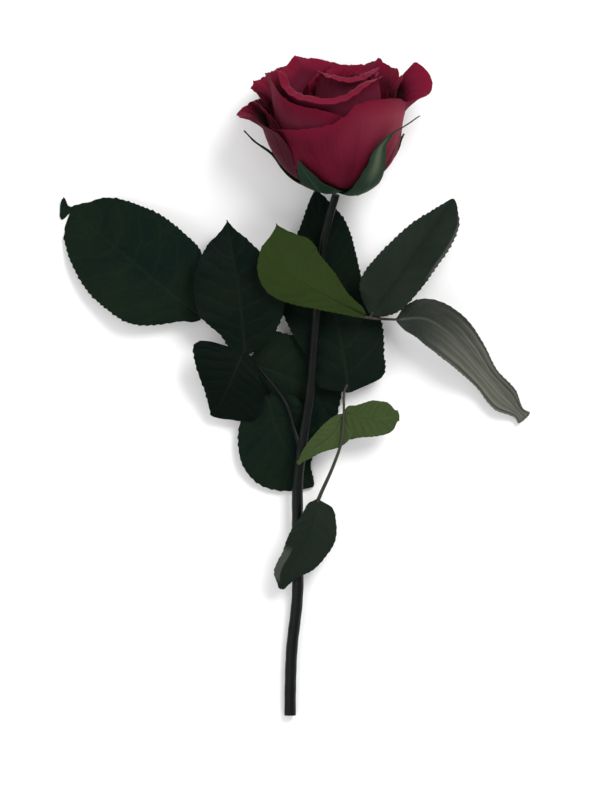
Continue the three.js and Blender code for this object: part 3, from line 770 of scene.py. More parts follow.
# %% The lines, margins and lift of the leaflets
LEAFLETS = {
    "left_tip": dict(
        line=[
            (-42.6, 31.2, 8.4),
            (-61.7, 46.6, 10.6),
            (-82.4, 63.7, 7.4),
            (-98.6, 77, 1.6),
            (-103.5, 80.2, 0.35),
            (-104.9, 85.6, 2.4),
        ],
        left=[6.5, 12.4, 17.6, 21.6, 23.6, 24.2, 24.4, 24.3, 23.6, 22, 19.8, 17.4, 14, 10.4, 3.4],
        right=[10.2, 16.6, 21.8, 24.6, 25.2, 25.4, 25.4, 25, 23.9, 22.4, 20.6, 18.2, 14.2, 6.5, 1.9],
        lift=[-2, 5],
        wave=0.9,
        notch=(0, 0.906, 7, 0.006),
    ),
    "left_upper": dict(
        line=[(-22.8, 14.4, 12.8), (-24.6, 33, 17.2), (-27.4, 55, 17.6), (-31, 75.4, 12.0)],
        painted_leaf_shade=0.5,
        left=[10.8, 19.2, 20.4, 18.2, 11.4],
        right=[15.2, 20.4, 19.4, 15, 7.4],
        lift=[6, 8],
        wave=1.0,
        full=0.6,
        point=0.15,
    ),
    "left_lower": dict(
        line=[(-23.6, 16.2, 13), (-27.6, 6.6, 14.4), (-32.2, -3.4, 12), (-37.4, -13.4, 6.4)],
        painted_leaf_shade=0.75,
        left=[9.4, 14.8, 17.4, 18.4, 16],
        right=[22, 20, 15.4, 10.4, 5.8],
        lift=[-6, 8],
        wave=0.8,
        tip=1.5,
        full=0.7,
    ),
    "inner_upper": dict(
        line=[(-21, 11, 8.8), (-7, 6, 4.6), (7, -1.5, 3.0), (18.6, -20.4, 2.4)],
        left=[18, 19, 20, 14, 6],
        right=[11, 15, 17, 16, 12],
        lift=[0, 0],
        wave=0.5,
        full=0.92,
    ),
    "inner_lower": dict(
        line=[(-12.6, -3.4, 8.4), (-9.4, -17, 6.4), (-2.2, -32, 4.4), (7.9, -44.8, 1.6)],
        left=[15, 18, 17.8, 13.6, 5.5],
        right=[14.4, 19, 21.2, 19.6, 13.0],
        lift=[2, 0],
        wave=0.5,
        full=0.7,
    ),
    "right_front": dict(
        line=[(31.2, 32.4, 16.8), (12.4, 42.4, 23.6), (-3, 53.4, 26.4), (-8.8, 73.6, 24.4)],
        left=[4.6, 8, 11.5, 14.6, 9.8],
        right=[5, 10, 13.8, 15.6, 13.8],
        lift=[-6, -10],
        wave=0.5,
        tooth=0.35,
        underside=True,
        point=0.14,
    ),
    "right_upper": dict(
        line=[(33.9, 32.6, 15.4), (46.2, 48.8, 19.4), (58.6, 67.2, 17.8), (71.2, 85, 10.6)],
        left=[13.8, 14.4, 12.4, 9.4, 5],
        right=[9.6, 11.2, 11.6, 11.8, 9.4],
        lift=[26, 30],
        wave=0.9,
        grey_edge=(1, 0.8, 0.35),
        dusty=0.16,
    ),
    "right_tip": dict(
        line=[
            (45.3, 30.4, 12.4),
            (58, 31, 13.8),
            (68, 25.4, 12.4),
            (76.4, 17, 10.4),
            (85, 7, 6.6),
            (95, -4.5, 2.6),
            (103.4, -14, 0.5),
        ],
        left=[9.2, 9.8, 7.8, 4.9, 5.2],
        right=[10.2, 11.0, 9.0, 7.4, 7.8],
        lift=[34, 30],
        wave=1.5,
        tip=4,
        tooth=0.3,
        dried=True,
    ),
    "low_tip": dict(
        line=[(24.2, -2.4, 9.4), (20.2, 22, 8.4), (14.5, 46, 8.4), (11.4, 68, 9.4), (9, 88.6, 11.4)],
        left=[15.8, 21, 22.8, 17.8, 9.4],
        right=[18.6, 20, 16.4, 15.2, 12.2],
        lift=[-3, -4],
        wave=0.6,
        full=0.84,
        painted_leaf_shade=0.4,
    ),
    "low_right": dict(
        line=[(21.4, -11.6, 13.2), (29, -13.6, 15.4), (38.4, -14.2, 16.6), (46.4, -12.8, 12.8)],
        left=[4.8, 6.8, 8.3, 8, 6.6],
        right=[11, 9.2, 8.4, 7.6, 6.2],
        lift=[6, -6],
        wave=0.4,
        tip=2.6,
        full=0.75,
        tooth=0.2,
        underside=True,
        pale=True,
    ),
    "low_left": dict(
        line=[(21.6, -12.4, 13.0), (16, -21.5, 14.6), (8.4, -27.6, 16.6), (0.9, -34.4, 14.8)],
        left=[7.8, 7.4, 4.8, 3.2, 2],
        right=[4.8, 6, 5.6, 4.2, 2.8],
        lift=[4, 4],
        wave=0.3,
        tip=1,
        tooth=0.2,
        underside=True,
        pale=True,
    ),
    "low_hanging": dict(
        line=[(10.2, -50.8, 14.8), (8, -62, 17), (3, -73.4, 16), (-2.6, -82, 13), (-6.5, -91, 9)],
        dusty=0.1,
        left=[9.6, 11.8, 10.8, 8.8, 5],
        right=[6, 8.4, 8.6, 7, 6.2],
        lift=[-14, 30],
        wave=0.7,
        tip=1.2,
        full=0.7,
        grey_edge=(1, 0.45, 0.5),
        tooth=0.3,
    ),
}
LEAF_BASE = 0.8
TIP_REACH = 0.15
LEAF_FLOOR = 0.45
LEAF_THICKNESS = 0.42
TOOTH_DEPTH = 0.7
TOOTH_SPACING = 2.5
ROWS_PER_TOOTH = 8
HALF_COLUMNS = 26


# %% The margin of a leaflet
def margin_reach(stations, tip, share, full=0.56):
    """How far the margin stands from the midrib at share, smooth through the stations."""
    step = 1 / (len(stations) + 1)
    places = [0, 0.3 * step, *((k + 1) * step for k in range(len(stations))), 1 - 0.3 * step, 1]
    reach = np.array([LEAF_BASE, full * stations[0], *stations, 0.42 * stations[-1], tip])
    places = np.array(places)
    k = np.clip(np.searchsorted(places, share), 1, len(places) - 1)
    before, after = np.maximum(k - 2, 0), np.minimum(k + 1, len(places) - 1)
    slope_in = (reach[k] - reach[before]) / (places[k] - places[before])
    slope_out = (reach[after] - reach[k - 1]) / (places[after] - places[k - 1])
    width = places[k] - places[k - 1]
    f = (share - places[k - 1]) / width
    return (
        (2 * f**3 - 3 * f**2 + 1) * reach[k - 1]
        + (f**3 - 2 * f**2 + f) * width * slope_in
        + (3 * f**2 - 2 * f**3) * reach[k]
        + (f**3 - f**2) * width * slope_out
    )


def saw(share, teeth, seed):
    """Teeth that lean towards the tip: a slow rise and a quick fall, never quite alike."""
    place = share * teeth + 0.22 * waver(share, seed, teeth / 3)
    f = place % 1
    shape = np.where(f < 0.78, (f / 0.78) ** 1.3, ((1 - f) / 0.22) ** 0.8)
    size = 0.75 + 0.35 * waver(np.floor(place), seed + 5, 1.37)
    return shape * size


# %% Side veins
VEIN_PAIRS = 8


def vein_pattern(share, reach, seed):
    """How near a side vein each point is, from 0 to 1, and how far the sheet bulges there."""
    start = share - 0.17 * reach**1.25 + 0.012 * waver(reach * 3, seed)
    phase = start * VEIN_PAIRS + 0.3
    near = np.abs((phase + 0.5) % 1 - 0.5) * 2
    fade = smooth(share, 0.02, 0.14) * (1 - smooth(reach, 0.8, 1.0)) * (1 - smooth(share, 0.9, 1))
    line = np.exp(-((near / 0.12) ** 2)) * fade
    bulge = (0.5 - 0.5 * np.cos(np.pi * near)) * smooth(reach, 0.02, 0.3) * fade
    return line, bulge


# %% Lay out one leaflet
def leaf_surface(leaflet, seed):
    line = Line(leaflet["line"])
    tooth = leaflet.get("tooth", TOOTH_DEPTH)
    teeth = round(line.length / TOOTH_SPACING)
    rows = teeth * ROWS_PER_TOOTH + 1
    share = np.linspace(0, 1, rows)
    columns = np.linspace(-1, 1, 2 * HALF_COLUMNS + 1)
    columns = np.sign(columns) * (1 - (1 - np.abs(columns)) ** 1.15)
    centre, ahead = line.at(share), line.ahead(share)
    aside = unit(np.stack([ahead[:, 1], -ahead[:, 0], 0 * share], -1))
    upward = unit(np.cross(aside, ahead))
    broad = max(*leaflet["left"], *leaflet["right"])
    tip = leaflet.get("tip", 0.5)
    points = np.zeros((rows, len(columns), 3))
    veins = np.zeros((rows, len(columns)))
    pale = np.zeros((rows, len(columns)))
    for j, c in enumerate(columns):
        half = 0 if c < 0 else 1
        margin = margin_reach(leaflet[("left", "right")[half]], tip, share, leaflet.get("full", 0.56))
        margin = margin * np.minimum(1, (1 - share) / leaflet.get("point", 0.01)) ** 0.6
        margin = np.maximum(margin, TIP_REACH)
        if leaflet.get("notch", (None,))[0] == half:
            _, notch_at, notch_depth, notch_width = leaflet["notch"]
            margin = margin - notch_depth * np.exp(-(((share - notch_at) / notch_width) ** 2))
        side = abs(c)
        bite = tooth * (1 - saw(share, teeth, seed + half)) * np.minimum(1, margin / 6)
        bite *= smooth(share, 0.02, 0.1) * (1 - smooth(share, 0.95, 1))
        reach = side * margin - bite * smooth(side, 0.8, 1)
        rise = reach * math.tan(math.radians(leaflet["lift"][half])) * smooth(share, 0, 0.12)
        sway = np.sin(2 * np.pi * (2.2 * share + (0.15 if half else 0.6)))
        rise += leaflet["wave"] * c * c * sway * margin / broad
        vein, bulge = vein_pattern(share, side * np.ones(rows), seed + half)
        crease = np.exp(-((side * margin / 0.55) ** 2)) * (1 - 0.6 * share)
        quilt = 0.24 * (bulge - 0.5) * (1 if not leaflet.get("underside") else -1)
        rise += quilt * np.minimum(1, margin / 8) - 0.3 * crease
        rise += 0.25 * smooth(side, 0.7, 1) * waver(share * 9 + 3.1 * half, seed + 2)
        veins[:, j] = np.maximum(vein * 0.35, crease * (1 - 0.5 * share))
        if leaflet.get("dried"):
            fold, fine = dried_folds(share, c, seed)
            rise += fold
            pale[:, j] = smooth(share, 0.1, 0.7) * (0.2 + 0.8 * fine)
            veins[:, j] = 0.5 * crease + smooth(share, 0.2, 0.5) * fine**3
        if leaflet.get("grey_edge", (None,))[0] == half:
            _, inner, from_share = leaflet["grey_edge"]
            edge = smooth(side, inner, inner + 0.12) * smooth(share, from_share, from_share + 0.15)
            pale[:, j] = 0.9 * edge * (1 - smooth(share, 0.86, 0.97))
        points[:, j] = centre + aside * (np.sign(c) * reach)[:, None] + upward * rise[:, None]
    return flatten_below(points, LEAF_FLOOR), veins, pale


def dried_folds(share, c, seed):
    """The dried leaflet has shrunk between its long veins, most of all towards its tip."""
    bend = 0.3 * np.sin(4 * share + seed) + 0.2 * waver(share * 3, seed + 8)
    ridge = 0.5 + 0.5 * waver(2.6 * c + bend, seed)
    fine = np.clip(0.5 + 0.6 * waver(5.5 * c + 1.8 * bend, seed + 4), 0, 1)
    grown = smooth(share, 0.16, 0.5) * (1 - 0.4 * smooth(share, 0.9, 1))
    return grown * (1.8 * (ridge - 0.5) + 0.6 * (fine - 0.5)), fine


# %% Make the leaflets
def make_leaf(name, leaflet, seed):
    surface, veins, paleness = leaf_surface(leaflet, seed)
    leaf = grid_object(f"leaf_{name}", surface)
    store(leaf, "vein", veins)
    store(leaf, "pale", np.maximum(paleness, leaflet.get("dusty", 0.0)))
    # Painted shade, the same all over one leaflet.
    store(leaf, "painted_leaf_shade", np.full(paleness.shape, leaflet.get("painted_leaf_shade", 0.0)))
    dried, turned = leaflet.get("dried"), leaflet.get("underside")
    pale = leaf_pale if leaflet.get("pale") else leaf_under
    top, under = (leaf_grey, leaf_grey) if dried else (leaf_upper, pale)
    set_finishes(leaf, *((under, top) if turned else (top, under)))
    columns = veins.shape[1]
    middle = np.abs(np.arange(columns) - HALF_COLUMNS)
    share = np.linspace(0, 1, veins.shape[0])[:, None]
    rib = np.exp(-((middle[None, :] / 1.3) ** 2)) * (1 - 0.75 * share)
    blade = 0.34 - 0.12 * smooth(middle[None, :], HALF_COLUMNS - 4, HALF_COLUMNS)
    thicken(leaf, LEAF_THICKNESS * 3, np.maximum(rib, blade), offset=1.0 if turned else -1.0)
    shade(leaf)
    slot_name = "leaf_dried" if dried else "leaf_underside" if turned else "leaf"
    return finish_piece(leaf, slot_name, f"leaflet_{name}")


leaves = [make_leaf(name, leaflet, 3.0 + 2.7 * k) for k, (name, leaflet) in enumerate(LEAFLETS.items())]
report("leaflets", leaves)

# %% [markdown]
# ## The bloom
#
# The bloom has a frame of its own, tilted so that its mouth points along +Y and a little up.
# Every petal leaves a narrow foot almost flat, steepens into a bowl, and rolls outwards at its
# lip. Petals further in are narrower and more upright. A real petal is also never quite
# smooth: it has long shallow furrows, and its lip is finely waved and nicked.

# %% The frame of the bloom
BLOOM_BASE = (18.4, 91.6, 21.4)
BLOOM_TILT = 18
BLOOM_LEAN = 1
HEART_SWAY = 3.4
lean = Matrix.Rotation(math.radians(BLOOM_LEAN), 3, "Z")
tilt = Matrix.Rotation(math.radians(BLOOM_TILT - 90), 3, "X")
bloom_turn = np.array(lean @ tilt)


def in_bloom(r, turn, h, sway=0.0):
    """A point of the bloom from its radius, its turn in degrees and its height, in mm."""
    turn = np.radians(turn)
    r, turn, h = np.broadcast_arrays(np.asarray(r, float), turn, np.asarray(h, float))
    own = np.stack([r * np.sin(turn) + sway * (h / 50) ** 2, -r * np.cos(turn), h], -1)
    return own @ bloom_turn.T + BLOOM_BASE


# %% The line of a petal from its foot to its rim
def petal_line(shape, rows, length, lip, roll, steps=6):
    """Radius, height and angle at even rows, for an array of lengths, lips and rolls."""
    foot, start, bowl, top = shape
    count = (rows - 1) * steps
    step = length / count
    at = (np.arange(count)[:, None] + 0.5) * step
    bowled = top + (start - top) * np.exp(-((at / bowl) ** 1.6))
    angle = np.radians(bowled + roll * smooth(at, length - lip, length - 0.25 * lip))
    start_row = np.zeros((1, len(length)))
    r = foot[0] + np.vstack([start_row, np.cumsum(np.sin(angle) * step, 0)])[::steps]
    h = foot[1] + np.vstack([start_row, np.cumsum(np.cos(angle) * step, 0)])[::steps]
    return r, h, np.vstack([angle[:1], angle[steps - 1 :: steps]])


# %% [markdown]
# ### Where the lip of a petal is seen
#
# The lip of a petal is what the eye follows. Its length could be set by hand at every station,
# but then each change of its roll would move it. So most petals are given the places where
# their lip is seen from above, read off at 0.45 mm a pixel and written in mm. The length
# that brings the rim to that line is searched for. Some lips curl over so far that their line
# says too little. Those are pinned: each pin holds a turn round the bloom too, and the roll is
# searched for as well. Two petals show little of their lip, and have their lengths given.


# %% What is seen from above
CAMERA_PLACE = (0.0022, -0.00615)
CAMERA_HEIGHT = 7.0
FOCUS_HEIGHT = 0.025


def seen_from_above(points):
    """Where points in mm are seen, as places at the height that the camera is framed for."""
    below_camera = np.array(CAMERA_PLACE) / MM - part_shift[:2]
    nearer = (CAMERA_HEIGHT - FOCUS_HEIGHT) / (CAMERA_HEIGHT - MM * points[..., 2:])
    return below_camera + (points[..., :2] - below_camera) * nearer


def rim_seen(petal, turn, lengths, lip, rolls):
    """Where the rim is seen at one turn, for arrays of lengths and rolls."""
    r, h, _ = petal_line(petal["shape"], 2, lengths, lip, rolls, steps=SEARCH_STEPS)
    return seen_from_above(in_bloom(r[-1], turn, h[-1], petal.get("sway", 0.0)))


# %% Search for the lengths, and for the rolls of pinned lips
SEARCH_STEPS = 80
LENGTHS_TRIED = np.arange(36, 76, 0.2)
LEAST_ROLL = -10
ROLL_STEP = 2
POINTS_A_SIDE = 30
CORNER_DROP = 0.07
CORNER_NARROWING = 0.1


def at_turns(given, turns):
    """The same number at all turns, or what lies between pairs of a turn and a number."""
    if np.isscalar(given):
        return np.full(len(turns), float(given))
    known_turns, numbers = zip(*given)
    return np.interp(turns, known_turns, numbers)


def follow_line(petal, turns, lips, rolls):
    """The lengths that bring the rim to the line on which the lip is seen."""
    corners = np.array(petal["seen"])
    line = np.concatenate([np.linspace(a, b, POINTS_A_SIDE) for a, b in zip(corners, corners[1:])])
    lengths = []
    for turn, lip, roll in zip(turns, lips, rolls):
        rims = rim_seen(petal, turn, LENGTHS_TRIED, lip, roll)
        miss = np.linalg.norm(rims[:, None] - line, axis=-1).min(axis=1)
        lengths.append(LENGTHS_TRIED[np.argmin(miss)])
    return np.array(lengths)


def meet_pins(petal, turns):
    """The lengths, lips and rolls that bring the rim to pins of (turn, x, y, lip)."""
    pins = np.array(petal["pinned"])
    x, y, lips = (np.interp(turns, pins[:, 0], pins[:, k]) for k in (1, 2, 3))
    found = []
    for k, most_roll in enumerate(at_turns(petal["most_roll"], turns)):
        rolls_tried = np.arange(LEAST_ROLL, most_roll, ROLL_STEP)
        lengths, rolls = (grid.ravel() for grid in np.meshgrid(LENGTHS_TRIED, rolls_tried))
        rims = rim_seen(petal, turns[k], lengths, lips[k], rolls)
        best = np.argmin(np.linalg.norm(rims - (x[k], y[k]), axis=-1))
        found.append((lengths[best], rolls[best]))
    lengths, rolls = np.transpose(found)
    return lengths, lips, rolls


def fitted(petal):
    """The petal with its rim, lip and roll as lists of even stations."""
    v = np.linspace(-1, 1, petal["stations"])
    turns = petal["turn"] + petal["half"] * v * (1 - CORNER_NARROWING * v * v)
    if "pinned" in petal:
        lengths, lips, rolls = meet_pins(petal, turns)
    else:
        lips, rolls = at_turns(petal["lip"], turns), at_turns(petal["roll"], turns)
    if "seen" in petal:
        lengths = follow_line(petal, turns, lips, rolls)
    rim = petal.get("rim")
    if rim is None:
        rim = lengths / petal["length"] + CORNER_DROP * v**8
    return petal | dict(rim=rim, lip=lips, roll=rolls)


# %% The surface of a petal
def petal_surface(petal, rows, columns, seed):
    v = np.linspace(-1, 1, columns)
    nicks = petal.get("ragged", 0.35) * (waver(v, seed, 9) + 0.5 * waver(v, seed + 1, 26))
    length = petal["length"] * (along(petal["rim"], v) - CORNER_DROP * v**8) + nicks
    lip, roll = along(petal["lip"], v), along(petal["roll"], v)
    r, h, angle = petal_line(petal["shape"], rows, length, lip, roll)
    u = np.linspace(0, 1, rows)[:, None]
    share = u * length / petal["length"]
    opened = smooth(share, 0, petal.get("spread", 0.5))
    spread = (0.3 + 0.7 * opened) * (1 - CORNER_NARROWING * smooth(u, 0.75, 1) * v * v)
    shift = along(petal["layer"], v) * smooth(share, 0.08, 0.4)
    shift = shift + petal["ruffle"] * smooth(u, 0.7, 1) * np.sin(7.5 * v + petal["turn"])
    furrows = 0.13 * waver(v, seed + 2, 6) + 0.05 * waver(v, seed + 3, 17)
    frill = 0.5 * petal["ruffle"] * smooth(u, 0.86, 1) * waver(v, seed + 4, 8)
    shift = shift + furrows * smooth(u, 0.25, 0.7) + frill
    points = in_bloom(
        r + shift * np.cos(angle),
        petal["turn"] + petal["half"] * spread * v,
        h - shift * np.sin(angle),
        petal.get("sway", 0.0),
    )
    return points, np.broadcast_to(u, points.shape[:2])


# %% One petal
PETAL_THICKNESS = 0.46
PETAL_FLOOR = 0.26
PETAL_ROWS = 84
PETAL_COLUMNS = 76


def petal_piece(name, petal, seed, rows=PETAL_ROWS, columns=PETAL_COLUMNS):
    surface, rim = petal_surface(petal, rows, columns, seed)
    piece = grid_object(name, flatten_below(surface, PETAL_FLOOR))
    store(piece, "rim", rim)
    v = np.linspace(-1, 1, columns)[None, :]
    # Painted sheen, strongest towards the upper right of the petal and its lip.
    store(piece, "painted_sheen", petal.get("painted_sheen", 0.0) * smooth(v, -0.3, 0.7) * smooth(rim, 0.4, 0.95))
    # Painted fill light low in the cup, scaled by the petal's shade value.
    store(piece, "painted_hollow_light", petal.get("shade", 0.0) * (1 - smooth(rim, 0.78, 0.97)))
    # Painted shadow in the crease along the edge that the next petal overlaps.
    store(piece, "painted_crease_shadow", np.broadcast_to(petal.get("crease", 0.0) * smooth(v, -0.1, 0.5), rim.shape))
    set_finishes(piece, petal_outer, petal_inner)
    thicken(piece, PETAL_THICKNESS, 1 - 0.5 * smooth(rim, 0.3, 1))
    shade(piece)
    return piece


